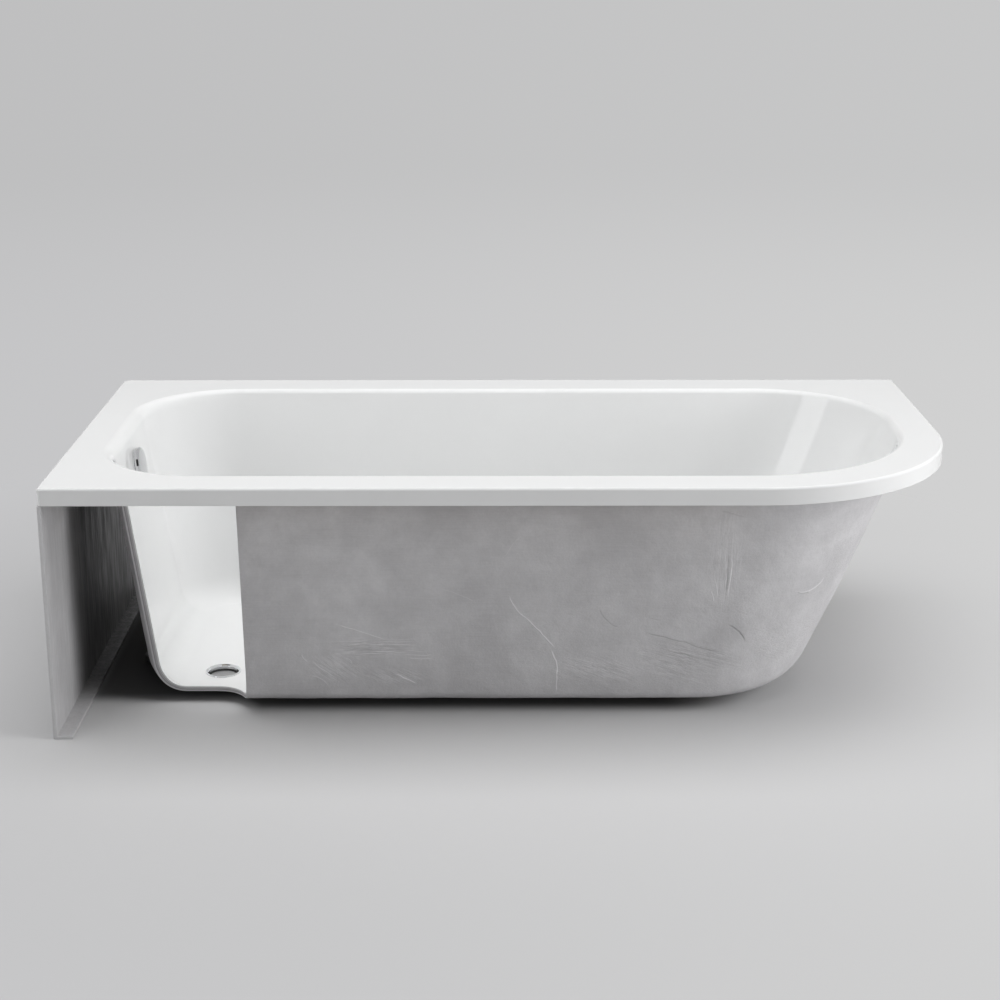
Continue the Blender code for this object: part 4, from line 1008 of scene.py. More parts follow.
@dataclass
class TubForm:
    """Where the basin, the rim and the skirt run. Overall sizes come from the frame."""
    left: Wall = Wall(68 * MM, 24 * MM, 60 * MM)
    front: Wall = Wall(51 * MM, 8 * MM, 14 * MM)
    right: Wall = Wall(205 * MM, 15 * MM, 72 * MM, 9 * MM)
    back: Wall = Wall(55 * MM, 10 * MM, 60 * MM)
    corners: tuple[Corner, ...] = (
        Corner(193 * MM, 108 * MM, 28, 150), Corner(330 * MM, 205 * MM, 64, 8),
        Corner(250 * MM, 190 * MM, 40, 60), Corner(193 * MM, 108 * MM, 28, 20))
    rim_left: float = 88 * MM
    rim_front: float = 86 * MM
    rim_right: float = 80 * MM
    rim_back: float = 95 * MM
    rim_corner: float = 400 * MM
    small_corner: float = 9 * MM
    back_left_corner: float = 20 * MM
    edge_fillet: float = 5 * MM
    skirt_height: float = 33 * MM
    skirt_thickness: float = 3 * MM
    acrylic: float = 2.5 * MM
    backing: float = 7 * MM
    flange: float = 4 * MM
    flange_short: float = 5 * MM
    fit_gap: float = 0.3 * MM
    bond_gap: float = 0.04 * MM
    least_radius: float = 0.5 * MM
    depth: float = field(init=False)

    def __post_init__(self) -> None:
        """Read the basin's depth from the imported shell."""
        low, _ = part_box("acrylic_shell")
        self.depth = CAD_HIGH.z - low.z - self.acrylic

    @property
    def walls(self) -> tuple[Wall, ...]:
        """The walls in the order left, front, right, back."""
        return self.left, self.front, self.right, self.back

    @property
    def backing_inside(self) -> float:
        """Offset of the backing's inner face from the basin's face: it is bonded on."""
        return self.acrylic + self.bond_gap

    @property
    def backing_outside(self) -> float:
        """Offset of the backing's outer face from the basin's face."""
        return self.acrylic + self.fit_gap + self.backing

    def slope(self, wall: Wall, depth: float) -> float:
        """Run per depth of a wall at one depth."""
        return (wall.run + 4 * wall.bulge * (2 * depth / self.depth - 1)) / self.depth

    def line(self, wall: Wall, depth: float, offset: float) -> float:
        """Inset of a wall's surface, without its lip and floor radii."""
        share = depth / self.depth
        inset = wall.run * share - 4 * wall.bulge * share * (1 - share)
        return inset - offset * math.hypot(1, self.slope(wall, depth))

    def inset(self, wall: Wall, depth: float, offset: float) -> float:
        """Inset from the basin's edge of a surface of a wall.

        Args:
            wall: The wall.
            depth: Depth below the rim.
            offset: How far the surface lies outside the basin's inner face.

        Returns:
            The inset, with the lip and floor radii.
        """
        lip = max(wall.lip - offset, self.least_radius)
        tilt = math.atan(self.slope(wall, offset))
        lip_end = offset + lip * (1 - math.sin(tilt))
        if depth < lip_end:
            centre = self.line(wall, lip_end, offset) - lip * math.cos(tilt)
            rise = offset + lip - depth
            return centre + math.sqrt(max(lip ** 2 - rise ** 2, 0))
        radius = wall.floor + offset
        tilt = math.atan(self.slope(wall, self.depth))
        centre_depth = self.depth - wall.floor
        arc_start = centre_depth + radius * math.sin(tilt)
        if depth > arc_start:
            centre = self.line(wall, arc_start, offset) + radius * math.cos(tilt)
            return centre - math.sqrt(max(radius ** 2 - (depth - centre_depth) ** 2, 0))
        return self.line(wall, depth, offset)

    def outline(self, limits: tuple[float, ...], radii: list[float],
                height: float) -> list[Vector]:
        """Closed loop round a rectangle with four corner radii, from the front left corner.

        Args:
            limits: Left, front, right and back of the rectangle.
            radii: Radius of each corner.
            height: Height of the loop.

        Returns:
            The points, corner arcs and divided straights in turn.
        """
        left, front, right, back = limits
        one, two, three, four = radii
        centres = ((left + one, front + one, 2 * QUARTER_TURN),
                   (right - two, front + two, 3 * QUARTER_TURN),
                   (right - three, back - three, 0.0),
                   (left + four, back - four, QUARTER_TURN))
        arcs = []
        for corner, radius, (x, y, start) in zip(self.corners, radii, centres):
            angles = [start + QUARTER_TURN * step / corner.steps
                      for step in range(corner.steps + 1)]
            arcs.append([Vector((x + radius * math.cos(a), y + radius * math.sin(a), height))
                         for a in angles])
        points: list[Vector] = []
        for corner, arc, following in zip(self.corners, arcs, arcs[1:] + arcs[:1]):
            points += arc
            points += [arc[-1].lerp(following[0], step / corner.side_steps)
                       for step in range(1, corner.side_steps)]
        return points

    def rim_ring(self, inset: float, depth: float) -> list[Vector]:
        """Loop that follows the rim's outside at an inset."""
        small = max(self.small_corner - inset, self.least_radius)
        wide = self.back_left_corner - inset
        limits = (CAD_LOW.x + inset, CAD_LOW.y + inset, CAD_HIGH.x - inset, CAD_HIGH.y - inset)
        return self.outline(limits, [small, self.rim_corner - inset, small, wide],
                            CAD_HIGH.z - depth)

    def basin_ring(self, depth: float, offset: float) -> list[Vector]:
        """Loop round the basin at one depth, an offset outside its inner face."""
        insets = [self.inset(wall, depth, offset) for wall in self.walls]
        more = [inset - self.line(wall, depth, 0) for inset, wall in zip(insets, self.walls)]
        left, front, right, back = insets
        share = depth / self.depth
        radii = []
        for corner, one, other in zip(self.corners, more, more[1:] + more[:1]):
            plain = corner.top + (corner.floor - corner.top) * share
            radii.append(max(plain - (one + other) / 2, self.least_radius))
        limits = (CAD_LOW.x + self.rim_left + left, CAD_LOW.y + self.rim_front + front,
                  CAD_HIGH.x - self.rim_right - right, CAD_HIGH.y - self.rim_back - back)
        return self.outline(limits, radii, CAD_HIGH.z - depth)

    def depths(self, offset: float, lip_steps: int, wall_steps: int,
               floor_steps: int) -> list[float]:
        """Depths of a surface's rings from the rim down, closer together where it curves."""
        lip_reach = max(wall.lip for wall in self.walls) - min(offset, self.front.lip)
        floor_reach = max(wall.floor for wall in self.walls) + offset
        bottom = self.depth + offset
        lips = [offset + lip_reach * (1 - math.cos(QUARTER_TURN * step / lip_steps))
                for step in range(lip_steps + 1)]
        floors = [bottom - floor_reach * (1 - math.cos(QUARTER_TURN * step / floor_steps))
                  for step in range(floor_steps, -1, -1)]
        start, end = lips[-1], floors[0]
        walls = [start + (end - start) * step / wall_steps for step in range(1, wall_steps)]
        return lips + walls + floors

    def overflow_frame(self) -> Matrix:
        """Frame of the overflow: Z into the basin, X down along the end wall."""
        joint = next(joint for joint in frame["joints"] if joint["name"] == "overflow_turn")
        outward = Vector(joint["axis"]).normalized()
        across = Vector((0, 1, 0))
        down = across.cross(outward)
        turn = Matrix((down, across, outward)).transposed()
        return Matrix.Translation(joint["pos_m"]) @ turn.to_4x4()

    def waste_centre(self) -> Vector:
        """Middle of the waste in plan."""
        low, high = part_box("waste_flange")
        return Vector(((low.x + high.x) / 2, (low.y + high.y) / 2, 0))


@dataclass
class Cutaway:
    """The cutaway of the sample and the holes of the fittings."""
    form: TubForm
    right: float = 344 * MM
    back: float = 181 * MM
    corner_radius: float = 62 * MM
    corner_steps: int = 28
    top: float = 40 * MM
    overrun: float = 6 * MM
    overflow_radius: float = 23 * MM
    waste_radius: float = 31.3 * MM

    def window(self, name: str, materials: Paints) -> Piece:
        """Tool of the cutaway: a block with one rounded upright edge."""
        spare = Vector((self.overrun,) * 3)
        high = Vector((CAD_LOW.x + self.right, CAD_LOW.y + self.back, CAD_HIGH.z - self.top))
        bm = block(CAD_LOW - spare, high)
        upright = [edge for edge in bm.edges
                   if all((vert.co.xy - high.xy).length < WELD for vert in edge.verts)]
        bmesh.ops.bevel(bm, geom=upright, offset=self.corner_radius, offset_type="OFFSET",
                        segments=self.corner_steps, profile=0.5, affect="EDGES", material=-1)
        return as_tool(bm, name + "_window", materials)

    def tools(self, name: str, materials: Paints) -> list[Piece]:
        """The three tools that cut one shell."""
        reach = self.form.backing_outside + self.overrun
        floor = CAD_HIGH.z - self.form.depth
        overflow = round_tool(self.overflow_radius, -reach, self.overrun,
                              self.form.overflow_frame(), name + "_overflow", materials)
        waste = round_tool(self.waste_radius, floor - reach, floor + self.overrun,
                           Matrix.Translation(self.form.waste_centre()), name + "_waste",
                           materials)
        return [self.window(name, materials), overflow, waste]


@dataclass
class AcrylicShell:
    """White sheet of the rim, the skirt and the basin."""
    form: TubForm
    cutaway: Cutaway
    finishes: Finishes
    edge_round: float = 0.8 * MM
    edge_steps: int = 3
    fillet_steps: int = 8
    hold: float = 1.0 * MM
    floor_inset: float = 6 * MM

    def rim_rings(self, lip: list[Vector]) -> list[list[Vector]]:
        """Rings from the lip over the rim, down the skirt and up behind it."""
        form = self.form
        fillet = form.edge_fillet
        edge = form.rim_ring(fillet + self.hold, 0)
        near_lip = [a + (b - a).normalized() * self.hold for a, b in zip(lip, edge)]
        rings = [near_lip, edge]
        for step in range(self.fillet_steps + 1):
            angle = QUARTER_TURN * step / self.fillet_steps
            rings.append(form.rim_ring(fillet * (1 - math.sin(angle)),
                                       fillet * (1 - math.cos(angle))))
        foot = form.skirt_height
        small = self.edge_round
        thick = form.skirt_thickness
        rings += [form.rim_ring(0, fillet + self.hold),
                  form.rim_ring(0, foot - small - self.hold), form.rim_ring(0, foot - small)]
        for step in range(1, self.edge_steps + 1):
            angle = QUARTER_TURN * step / self.edge_steps
            rings.append(form.rim_ring(small * (1 - math.cos(angle)),
                                       foot - small * (1 - math.sin(angle))))
        rings += [form.rim_ring(thick - small, foot), form.rim_ring(thick, foot - small),
                  form.rim_ring(thick, form.acrylic)]
        return rings

    def build(self) -> Piece:
        """Build the shell, cut it and settle it."""
        form = self.form
        inner = [form.basin_ring(depth, 0)
                 for depth in form.depths(0, lip_steps=22, wall_steps=18, floor_steps=26)]
        outer = [form.basin_ring(depth, form.acrylic)
                 for depth in form.depths(form.acrylic, lip_steps=10, wall_steps=8,
                                          floor_steps=12)]
        bm = loft(inner[::-1] + self.rim_rings(inner[0]) + outer)
        floors = [face for face in bm.faces if len(face.verts) > 4]
        bmesh.ops.inset_individual(bm, faces=floors, thickness=self.floor_inset)
        materials = [self.finishes.acrylic, self.finishes.acrylic_edge]
        item = object_from(bm, "gloss_tub_shell", materials)
        cut_with(item, self.cutaway.tools("acrylic", materials))
        shade(item)
        return settle(item, Slot.ACRYLIC, "acrylic_shell")


@dataclass
class BackingShell:
    """Grey laminate behind the acrylic, with its hand-laid unevenness in the mesh."""
    form: TubForm
    cutaway: Cutaway
    finishes: Finishes
    wave_height: float = 0.9 * MM
    wave_scale: float = 9.0
    lump_height: float = 0.35 * MM
    lump_scale: float = 34.0
    outer_share: float = 0.9
    edge_cuts: int = 2

    def inner_tree(self) -> BVHTree:
        """Search tree of the backing's inner face."""
        offset = self.form.backing_inside
        rings = [self.form.basin_ring(depth, offset)
                 for depth in self.form.depths(offset, lip_steps=6, wall_steps=10,
                                               floor_steps=10)]
        return BVHTree.FromBMesh(loft(rings))

    def build(self) -> Piece:
        """Build the laminate, cut it, work its outside and settle it."""
        form = self.form
        inside, outside = form.backing_inside, form.backing_outside
        near = form.skirt_thickness + form.fit_gap
        far = near + form.flange
        foot = form.skirt_height - form.flange_short
        inner = [form.basin_ring(depth, inside)
                 for depth in form.depths(inside, lip_steps=8, wall_steps=8, floor_steps=12)]
        rim = [form.rim_ring(near, inside), form.rim_ring(near, foot),
               form.rim_ring(far, foot), form.rim_ring(far, outside)]
        outer = [form.basin_ring(depth, outside)
                 for depth in form.depths(outside, lip_steps=8, wall_steps=44,
                                          floor_steps=20)]
        bm = loft(inner[::-1] + rim + outer)
        materials = [self.finishes.backing, self.finishes.backing_edge]
        item = object_from(bm, "laminate_backing", materials)
        cut_with(item, self.cutaway.tools("backing", materials))
        self.work_surface(item)
        shade(item)
        return settle(item, Slot.BACKING, "reinforcement_shell")

    def unevenness(self, point: Vector) -> float:
        """Height of the hand-laid surface over the true one at a point."""
        wave = noise.noise(point * self.wave_scale)
        lump = noise.noise(point * self.lump_scale)
        return self.wave_height * wave + self.lump_height * lump

    def work_surface(self, item: Piece) -> None:
        """Move the outer face by its unevenness and mark the layers of the cut faces."""
        tree = self.inner_tree()
        bm = bmesh.new()
        bm.from_mesh(item.data)
        cut_faces = [face for face in bm.faces if face.material_index == CUT_FACE]
        bmesh.ops.triangulate(bm, faces=cut_faces)
        edges = {edge for face in bm.faces if face.material_index == CUT_FACE
                 for edge in face.edges if all(other.material_index == CUT_FACE
                                               for other in edge.link_faces)}
        bmesh.ops.subdivide_edges(bm, edges=list(edges), cuts=self.edge_cuts)
        bm.normal_update()
        layer = bm.verts.layers.float.new(LAYER_ATTRIBUTE)
        for vert in bm.verts:
            _, _, _, distance = tree.find_nearest(vert.co)
            share = min(distance / self.form.backing, 1.0)
            vert[layer] = share
            outside = all(face.material_index != CUT_FACE for face in vert.link_faces)
            if outside and share > self.outer_share:
                vert.co += vert.normal * self.unevenness(vert.co)
        bm.to_mesh(item.data)
        bm.free()


@dataclass
class EndPanel:
    """Grey end panel with its turned-in foot and eased edges."""
    finishes: Finishes
    thickness: float = 7 * MM
    turn_in: float = 36 * MM
    foot_thickness: float = 6 * MM
    easing: float = 0.7 * MM
    facing: float = 0.5

    def build(self) -> Piece:
        """Extrude the angle along the end and ease its edges."""
        low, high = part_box("end_panel")
        outline = [(low.x, low.z), (low.x + self.turn_in, low.z),
                   (low.x + self.turn_in, low.z + self.foot_thickness),
                   (low.x + self.thickness, low.z + self.foot_thickness),
                   (low.x + self.thickness, high.z), (low.x, high.z)]
        bm = bmesh.new()
        face = bm.faces.new([bm.verts.new((x, low.y, z)) for x, z in outline])
        made = bmesh.ops.extrude_face_region(bm, geom=[face])
        moved = [part for part in made["geom"] if isinstance(part, bmesh.types.BMVert)]
        bmesh.ops.translate(bm, verts=moved, vec=(0, high.y - low.y, 0))
        round_edges(bm, self.easing, 3)
        bm.normal_update()
        for side in bm.faces:
            if abs(side.normal.y) > self.facing:
                side.material_index = EDGE_FACE
            # Faces towards the tub and upward take the board with painted shade.
            elif max(side.normal.x, side.normal.z) > self.facing:
                side.material_index = INNER_FACE
        item = object_from(bm, "grey_end_panel",
                           [self.finishes.panel, self.finishes.panel_edge,
                            self.finishes.panel_inside_painted_shade])
        return settle(item, Slot.PANEL, "end_panel")


# Fittings


@dataclass
class Waste:
    """Chrome flange in the floor, with its plug and the seal under it."""
    form: TubForm
    finishes: Finishes
    flange_radius: float = 35 * MM
    flange_rise: float = 2.5 * MM
    dish_radius: float = 32.2 * MM
    tail_radius: float = 31 * MM
    tail_wall: float = 2 * MM
    seat_depth: float = 12.5 * MM
    seat_thickness: float = 2.5 * MM
    seat_radius: float = 18.5 * MM
    plug_radius: float = 26.4 * MM
    boss_radius: float = 16.5 * MM
    stem_radius: float = 3 * MM
    plug_thickness: float = 2.6 * MM
    seal_thickness: float = 1.2 * MM
    seal_lip: float = 4.8 * MM
    boss_depth: float = 2.6 * MM
    roll: float = 1.8 * MM
    roll_drop: float = 0.9 * MM
    roll_edge: float = 0.5 * MM
    dish_depth: float = 1.5 * MM
    plug_bevel: float = 0.8 * MM
    plug_bevel_drop: float = 0.7 * MM
    plug_rim: float = 4 * MM
    plug_dish: float = 0.5 * MM
    plug_dish_edge: float = 0.3 * MM
    seal_slant: float = 1.2 * MM
    seal_bevel: float = 0.5 * MM
    seal_inner_bevel: float = 0.4 * MM
    flange_easing: float = 0.35 * MM
    plug_easing: float = 0.3 * MM
    seal_easing: float = 0.25 * MM

    def build(self) -> None:
        """Build the flange, the plug and its seal."""
        place = Matrix.Translation(self.form.waste_centre())
        self.build_flange(place)
        self.build_plug(place)
        self.build_seal(place)

    def build_flange(self, place: Matrix) -> Piece:
        """Flange with a rolled edge, a dish and a seat."""
        floor = CAD_HIGH.z - self.form.depth
        low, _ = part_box("waste_flange")
        bottom = floor + self.form.fit_gap
        top = bottom + self.flange_rise
        seat = floor - self.seat_depth
        bore = self.tail_radius - self.tail_wall
        profile = [(self.dish_radius, top), (self.flange_radius - self.roll, top),
                   (self.flange_radius - self.roll_edge, top - self.roll_drop),
                   (self.flange_radius, bottom),
                   (self.tail_radius, bottom), (self.tail_radius, low.z), (bore, low.z),
                   (bore, seat - self.seat_thickness),
                   (self.seat_radius, seat - self.seat_thickness), (self.seat_radius, seat),
                   (bore, seat), (bore, bottom - self.dish_depth)]
        bm = round_edges(turn_profile(profile, place, closed=True), self.flange_easing, 3,
                         FLAT_BEND)
        item = object_from(bm, "chrome_waste_flange", [self.finishes.chrome])
        return settle(item, Slot.CHROME, "waste_flange")

    def build_plug(self, place: Matrix) -> Piece:
        """Plug with a dished top, its boss and its stem."""
        low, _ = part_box("waste_plug")
        gap = self.form.fit_gap
        under = (CAD_HIGH.z - self.form.depth - self.seat_depth + gap + self.seal_thickness
                 + gap)
        top = under + self.plug_thickness
        boss = under - self.boss_depth
        profile = [(0, low.z), (self.stem_radius, low.z), (self.stem_radius, boss),
                   (self.boss_radius, boss), (self.boss_radius, under),
                   (self.plug_radius, under), (self.plug_radius, top - self.plug_bevel_drop),
                   (self.plug_radius - self.plug_bevel, top),
                   (self.plug_radius - self.plug_rim, top - self.plug_dish_edge),
                   (0, top - self.plug_dish)]
        bm = round_edges(turn_profile(profile, place), self.plug_easing, 3, BEND)
        item = object_from(bm, "chrome_waste_plug", [self.finishes.satin])
        return settle(item, Slot.CHROME, "waste_plug")

    def build_seal(self, place: Matrix) -> Piece:
        """Rubber seal under the plug, with a lip that stands up round it."""
        gap = self.form.fit_gap
        low = CAD_HIGH.z - self.form.depth - self.seat_depth + gap
        high = low + self.seal_thickness
        reach = self.tail_radius - self.tail_wall - gap
        lip = high + gap + self.seal_lip
        inner = self.plug_radius + gap
        outer_bevel, inner_bevel = self.seal_bevel, self.seal_inner_bevel
        profile = [(self.boss_radius + gap, low), (reach - self.seal_slant, low),
                   (reach, high), (reach, lip - outer_bevel), (reach - outer_bevel, lip),
                   (inner + inner_bevel, lip), (inner, lip - inner_bevel), (inner, high),
                   (self.boss_radius + gap, high)]
        bm = round_edges(turn_profile(profile, place, closed=True), self.seal_easing, 2, BEND)
        item = object_from(bm, "rubber_plug_seal", [self.finishes.rubber])
        return settle(item, Slot.RUBBER, "plug_seal")


@dataclass
class Overflow:
    """Turning knob on the end wall, with an inlet slot in each side."""
    form: TubForm
    finishes: Finishes
    slot_lift: float = math.radians(21)
    slot_length: float = 14 * MM
    slot_width: float = 4.2 * MM
    slot_depth: float = 4 * MM
    slot_behind_front: float = 1.8 * MM
    knob_radius: float = 35 * MM
    knob_thickness: float = 10.4 * MM
    knob_back: float = 3.8 * MM
    shaft_radius: float = 4 * MM
    shaft_end: float = -36.7 * MM
    back_bevel: float = 2.5 * MM
    back_bevel_rise: float = 1.6 * MM
    front_bevel: float = 1.8 * MM
    easing: float = 0.8 * MM
    slot_easing_share: float = 0.3

    def build(self) -> Piece:
        """Knob with a rounded front edge and a shaft."""
        front = self.knob_back + self.knob_thickness
        radius = self.knob_radius
        profile = [(0, self.shaft_end), (self.shaft_radius, self.shaft_end),
                   (self.shaft_radius, self.knob_back),
                   (radius - self.back_bevel, self.knob_back),
                   (radius, self.knob_back + self.back_bevel_rise),
                   (radius, front - self.front_bevel), (radius - self.front_bevel, front),
                   (0, front)]
        bm = turn_profile(profile, self.form.overflow_frame())
        round_edges(bm, self.easing, 4, BEND)
        # The slots are lined with black rubber: painted shade inside the inlet slots.
        materials = [self.finishes.soft_chrome, self.finishes.rubber]
        item = object_from(bm, "chrome_overflow_knob", materials)
        cut_with(item, [self.slot_tool(front, side, materials) for side in (-1, 1)])
        shade(item)
        return settle(item, Slot.CHROME, "overflow_knob")

    def slot_tool(self, front: float, side: int,
                  materials: Paints) -> Piece:
        """Rounded cutter of one inlet slot.

        Args:
            front: Height of the knob's front face.
            side: Side of the knob, -1 or 1.
            materials: The knob's finishes, whose second one, black rubber, lines the slot as
                painted shade.

        Returns:
            The cutter.
        """
        top = front - self.slot_behind_front
        near = self.knob_radius - self.slot_depth
        ends = sorted((side * near, side * (self.knob_radius + self.slot_depth)))
        bm = block(Vector((-self.slot_length / 2, ends[0], top - self.slot_width)),
                   Vector((self.slot_length / 2, ends[1], top)))
        round_edges(bm, self.slot_width * self.slot_easing_share, 3)
        place = self.form.overflow_frame() @ Matrix.Rotation(side * self.slot_lift, 4, "Z")
        bmesh.ops.transform(bm, matrix=place, verts=bm.verts)
        return as_tool(bm, "knob_slot", materials)


# Studio


@dataclass(frozen=True)
class Lamp:
    """One soft rectangular lamp, which glossy surfaces mirror only where it says so."""
    name: str
    place: Triple
    width: float
    height: float
    watts: float
    mirrored: bool = False

    def hang(self, aim: Vector) -> Piece:
        """Hang the lamp and face it to a point.

        Args:
            aim: Point that it faces.

        Returns:
            The lamp.
        """
        data = bpy.data.lights.new(self.name, "AREA")
        data.shape = "RECTANGLE"
        data.size = self.width
        data.size_y = self.height
        data.energy = self.watts
        item = bpy.data.objects.new(self.name, data)
        item.location = self.place
        towards = aim - Vector(self.place)
        item.rotation_euler = towards.to_track_quat("-Z", "Y").to_euler()
        item.visible_glossy = self.mirrored
        bpy.context.scene.collection.objects.link(item)
        return item


@dataclass
class Studio:
    """Pale floor, plain soft light and the camera at the photograph's angle.

    The floor's own shading fades to an even glow round the bath, a near tone that turns
    into a far one. Under the tub a painted contact shadow darkens the floor by the shade factor.
    """
    floor_radius: float = 60.0
    floor_roughness: float = 0.9
    floor_gloss: float = 0.2
    floor_left: Colour = (0.552, 0.552, 0.557)
    floor_right: Colour = (0.605, 0.605, 0.61)
    turn_from: float = -1.6
    turn_to: float = 1.8
    near_left: Colour = (0.56, 0.56, 0.57)
    near_right: Colour = (0.642, 0.642, 0.642)
    far_left: Colour = (0.515, 0.515, 0.52)
    far_right: Colour = (0.577, 0.578, 0.58)
    far_start: float = 2.0
    far_end: float = 9.0
    side_start: float = 2.0
    side_reach: float = 0.45
    fade_centre: Triple = (-0.2, 0, 0)
    fade_start: float = 0.6
    fade_end: float = 1.7
    shade: float = 0.20
    shade_front: float = -310 * MM
    shade_cut_front: float = -262 * MM
    shade_cut_blend: float = 30 * MM
    shade_left: float = -860 * MM
    shade_right: float = 470 * MM
    shade_fade: float = 62 * MM
    shade_far_fade: float = 186 * MM
    world_colour: Colour = (0.99, 0.99, 1.0)
    world_strength: float = 0.06
    aim: Triple = (0, 0, 0.3)
    lamps: tuple[Lamp, ...] = (
        Lamp("overhead", (0, -0.1, 3.2), 4.0, 2.2, 89.5),
        Lamp("right_side", (3.4, -0.8, 1.5), 2.0, 2.0, 66),
        Lamp("right_low", (3.2, -1.5, 0.6), 1.8, 1.1, 14),
        Lamp("front", (1.0, -3.9, 1.6), 1.6, 1.6, 10.5),
        Lamp("left_front", (-3.0, -1.9, 1.5), 2.0, 2.0, 21, mirrored=True),
        Lamp("left_side", (-3.4, 0, 2.2), 2.0, 2.0, 22),
        Lamp("behind", (0, 3.6, 2.2), 3.0, 1.6, 9))
    camera_place: Triple = (-0.0327, -3.6399, 1.4357)
    camera_tilt: float = math.radians(73.17)
    camera_yaw: float = math.radians(-0.195)
    lens: float = 67.72
    sensor: float = 36.0
    view_end: float = 200.0

    def build(self) -> None:
        """Make the floor, the world, the lamps and the camera."""
        self.build_floor()
        self.build_world()
        for lamp in self.lamps:
            lamp.hang(Vector(self.aim))
        self.build_camera()

    def build_floor(self) -> None:
        """Round pale floor that carries shadows near the bath and fades to an even backdrop."""
        bm = bmesh.new()
        bmesh.ops.create_circle(bm, cap_ends=True, segments=FINE_STEPS,
                                radius=self.floor_radius)
        material, graph, shader = new_material("studio_floor")
        place = graph.place()
        radius = graph.distance(place, self.fade_centre)
        across = graph.axes(place)["X"]
        turn = graph.remap(across, self.turn_from, self.turn_to)
        pale = graph.mix(turn, tint(self.floor_left), tint(self.floor_right))
        # Painted contact shadow: the floor's tones darkened by the shade factor under the tub.
        painted_shade_tone = graph.mix(turn, tint(self.floor_left, self.shade),
                         tint(self.floor_right, self.shade))
        graph.feed(shader.inputs["Base Color"],
                   graph.mix(self.contact_shade(graph, place), pale, painted_shade_tone))
        shader.inputs["Roughness"].default_value = self.floor_roughness
        shader.inputs["Specular IOR Level"].default_value = self.floor_gloss
        side = graph.maths("DIVIDE", across, graph.maths("ADD", radius, self.side_start))
        seen = graph.remap(side, -self.side_reach, self.side_reach)
        tone = graph.mix(graph.remap(radius, self.far_start, self.far_end),
                         graph.mix(seen, tint(self.near_left), tint(self.near_right)),
                         graph.mix(seen, tint(self.far_left), tint(self.far_right)))
        glow = graph.node("ShaderNodeEmission", {"Color": tone, "Strength": 1.0})
        far = graph.remap(radius, self.fade_start, self.fade_end)
        join = graph.node("ShaderNodeMixShader", {0: graph.times(far, self.seen_rays(graph)),
                                                  1: shader.outputs[0], 2: glow.outputs[0]})
        output = material.node_tree.nodes["Material Output"]
        graph.feed(output.inputs["Surface"], join.outputs[0])
        object_from(bm, "studio_floor", [material])

    def contact_shade(self, graph: Graph, place: Socket) -> Socket:
        """Mask of the painted contact shadow on the floor under the tub, between the end panel
        and the rounded end.
        """
        axes = graph.axes(place)
        cut = CAD_LOW.x + Cutaway.right
        beside = graph.remap(axes["X"], cut - self.shade_cut_blend, cut + self.shade_cut_blend)
        front = graph.scaled_sum(beside, self.shade_front - self.shade_cut_front,
                                 self.shade_cut_front)
        behind = graph.remap(graph.maths("SUBTRACT", axes["Y"], front), 0.0, self.shade_fade)
        left = graph.remap(axes["X"], self.shade_left, self.shade_left + self.shade_fade)
        right = graph.remap(axes["X"], self.shade_right - self.shade_far_fade,
                            self.shade_right, 1.0, 0.0)
        wall = graph.remap(axes["Y"], CAD_HIGH.y - self.shade_far_fade, CAD_HIGH.y, 1.0, 0.0)
        return graph.times(graph.times(behind, wall), graph.times(left, right))

    def seen_rays(self, graph: Graph) -> Socket:
        """One for rays that show the backdrop: from the camera, a gloss or clear plastic."""
        rays = graph.node("ShaderNodeLightPath").outputs
        shown = graph.maths("MAXIMUM", rays["Is Camera Ray"], rays["Is Glossy Ray"])
        return graph.maths("MAXIMUM", shown, rays["Is Transmission Ray"])

    def build_world(self) -> None:
        """Even surroundings: one level for light, another where they are seen."""
        world = bpy.data.worlds.new("studio")
        world.use_nodes = True
        graph = Graph(world.node_tree)
        light = world.node_tree.nodes["Background"]
        light.inputs["Color"].default_value = tint(self.world_colour)
        light.inputs["Strength"].default_value = self.world_strength
        seen = graph.node("ShaderNodeBackground", {"Color": tint(self.far_right),
                                                   "Strength": 1.0})
        join = graph.node("ShaderNodeMixShader", {0: self.seen_rays(graph),
                                                  1: light.outputs[0], 2: seen.outputs[0]})
        output = world.node_tree.nodes["World Output"]
        graph.feed(output.inputs["Surface"], join.outputs[0])
        bpy.context.scene.world = world

    def build_camera(self) -> None:
        """Camera where the photograph was taken from."""
        data = bpy.data.cameras.new("camera")
        data.sensor_width = self.sensor
        data.lens = self.lens
        data.clip_end = self.view_end
        item = bpy.data.objects.new("camera", data)
        item.location = self.camera_place
        item.rotation_euler = (self.camera_tilt, 0, self.camera_yaw)
        bpy.context.scene.collection.objects.link(item)
        bpy.context.scene.camera = item
        bpy.context.scene.view_settings.view_transform = "Standard"


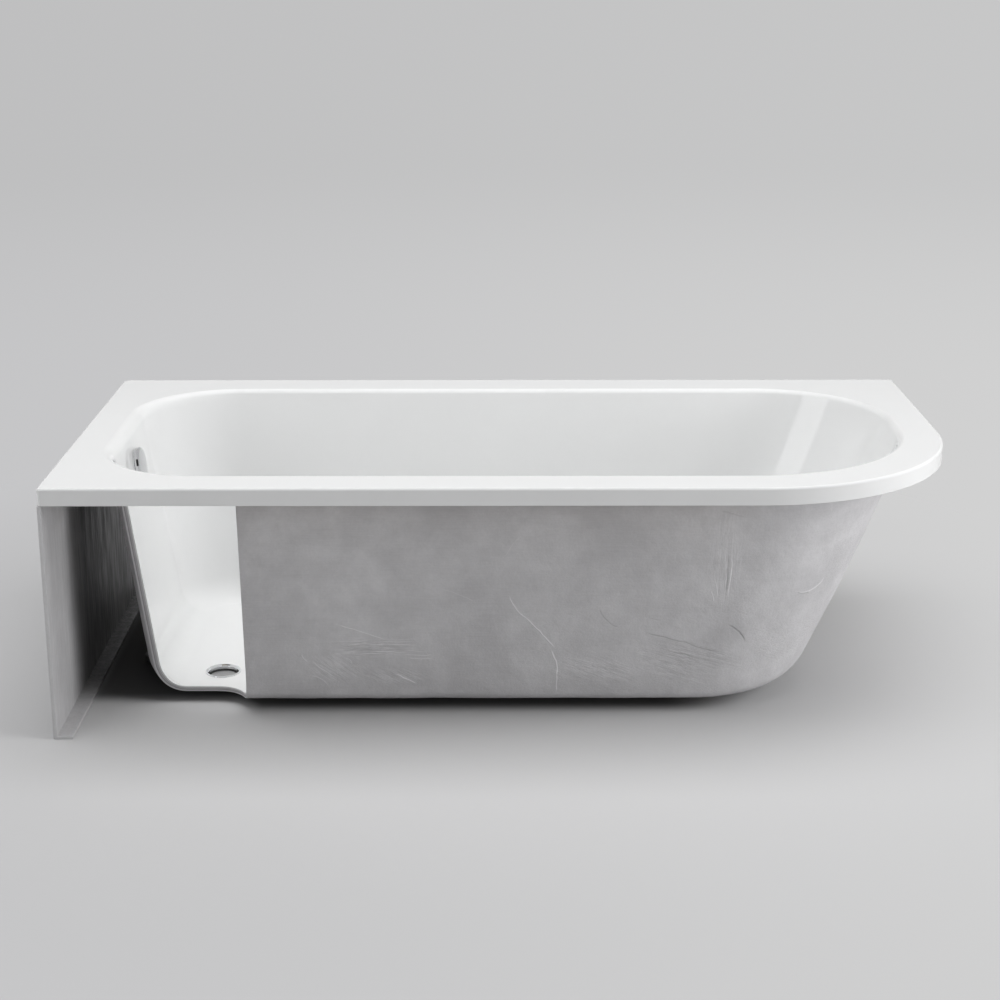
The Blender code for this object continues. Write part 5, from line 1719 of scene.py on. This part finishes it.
@dataclass
class EasedParts:
    """Plain hard parts under the bath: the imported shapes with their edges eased."""
    finishes: Finishes
    easings: dict[Slot, float] = field(default_factory=lambda: {
        Slot.BOARD: 1.2 * MM, Slot.STEEL: 0.25 * MM, Slot.PLASTIC: 0.5 * MM})
    sharp: float = math.radians(35)
    flat: float = math.radians(0.5)
    skipped: tuple[str, ...] = ("pull_cable",)

    def build(self) -> None:
        """Ease every part that is still shown and whose slot is listed."""
        for part in frame["record"]["subparts"]:
            name, slot = part["node"], Slot(part["material_slot"])
            shown = not frame["nodes"][name].hide_render
            if shown and slot in self.easings and name not in self.skipped:
                self.ease(name, slot)

    def ease(self, name: str, slot: Slot) -> Piece:
        """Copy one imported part, join its loose triangles and bevel its edges.

        Args:
            name: Node of the part.
            slot: Finish slot of the part.

        Returns:
            The piece that stands for the node.
        """
        bm = bmesh.new()
        bm.from_mesh(frame["nodes"][name].data)
        bmesh.ops.remove_doubles(bm, verts=bm.verts, dist=WELD)
        bmesh.ops.dissolve_limit(bm, angle_limit=self.flat, verts=bm.verts, edges=bm.edges)
        round_edges(bm, self.easings[slot], angle=self.sharp)
        item = object_from(bm, "eased_" + name, [self.finishes.of_slot(slot)])
        return settle(item, slot, name)


def dress_kept_nodes(finishes: Finishes) -> None:
    """Give every CAD node that stays its finish from the record's slot."""
    slots = {part["node"]: Slot(part["material_slot"]) for part in frame["record"]["subparts"]}
    for name, item in frame["nodes"].items():
        if item.hide_render:
            continue
        material = finishes.of_slot(slots[name])
        if not item.material_slots:
            item.data.materials.append(material)
        for entry in item.material_slots:
            entry.material = material
        LOG.info("%s keeps its CAD shape", name)


def main() -> None:
    """Build every sub-assembly in order."""
    logging.basicConfig(level=logging.INFO, format="%(message)s")
    finishes = Finishes()
    form = TubForm()
    cutaway = Cutaway(form)
    AcrylicShell(form, cutaway, finishes).build()
    BackingShell(form, cutaway, finishes).build()
    EndPanel(finishes).build()
    Waste(form, finishes).build()
    Overflow(form, finishes).build()
    EasedParts(finishes).build()
    dress_kept_nodes(finishes)
    Studio().build()


if __name__ == "__main__":
    main()
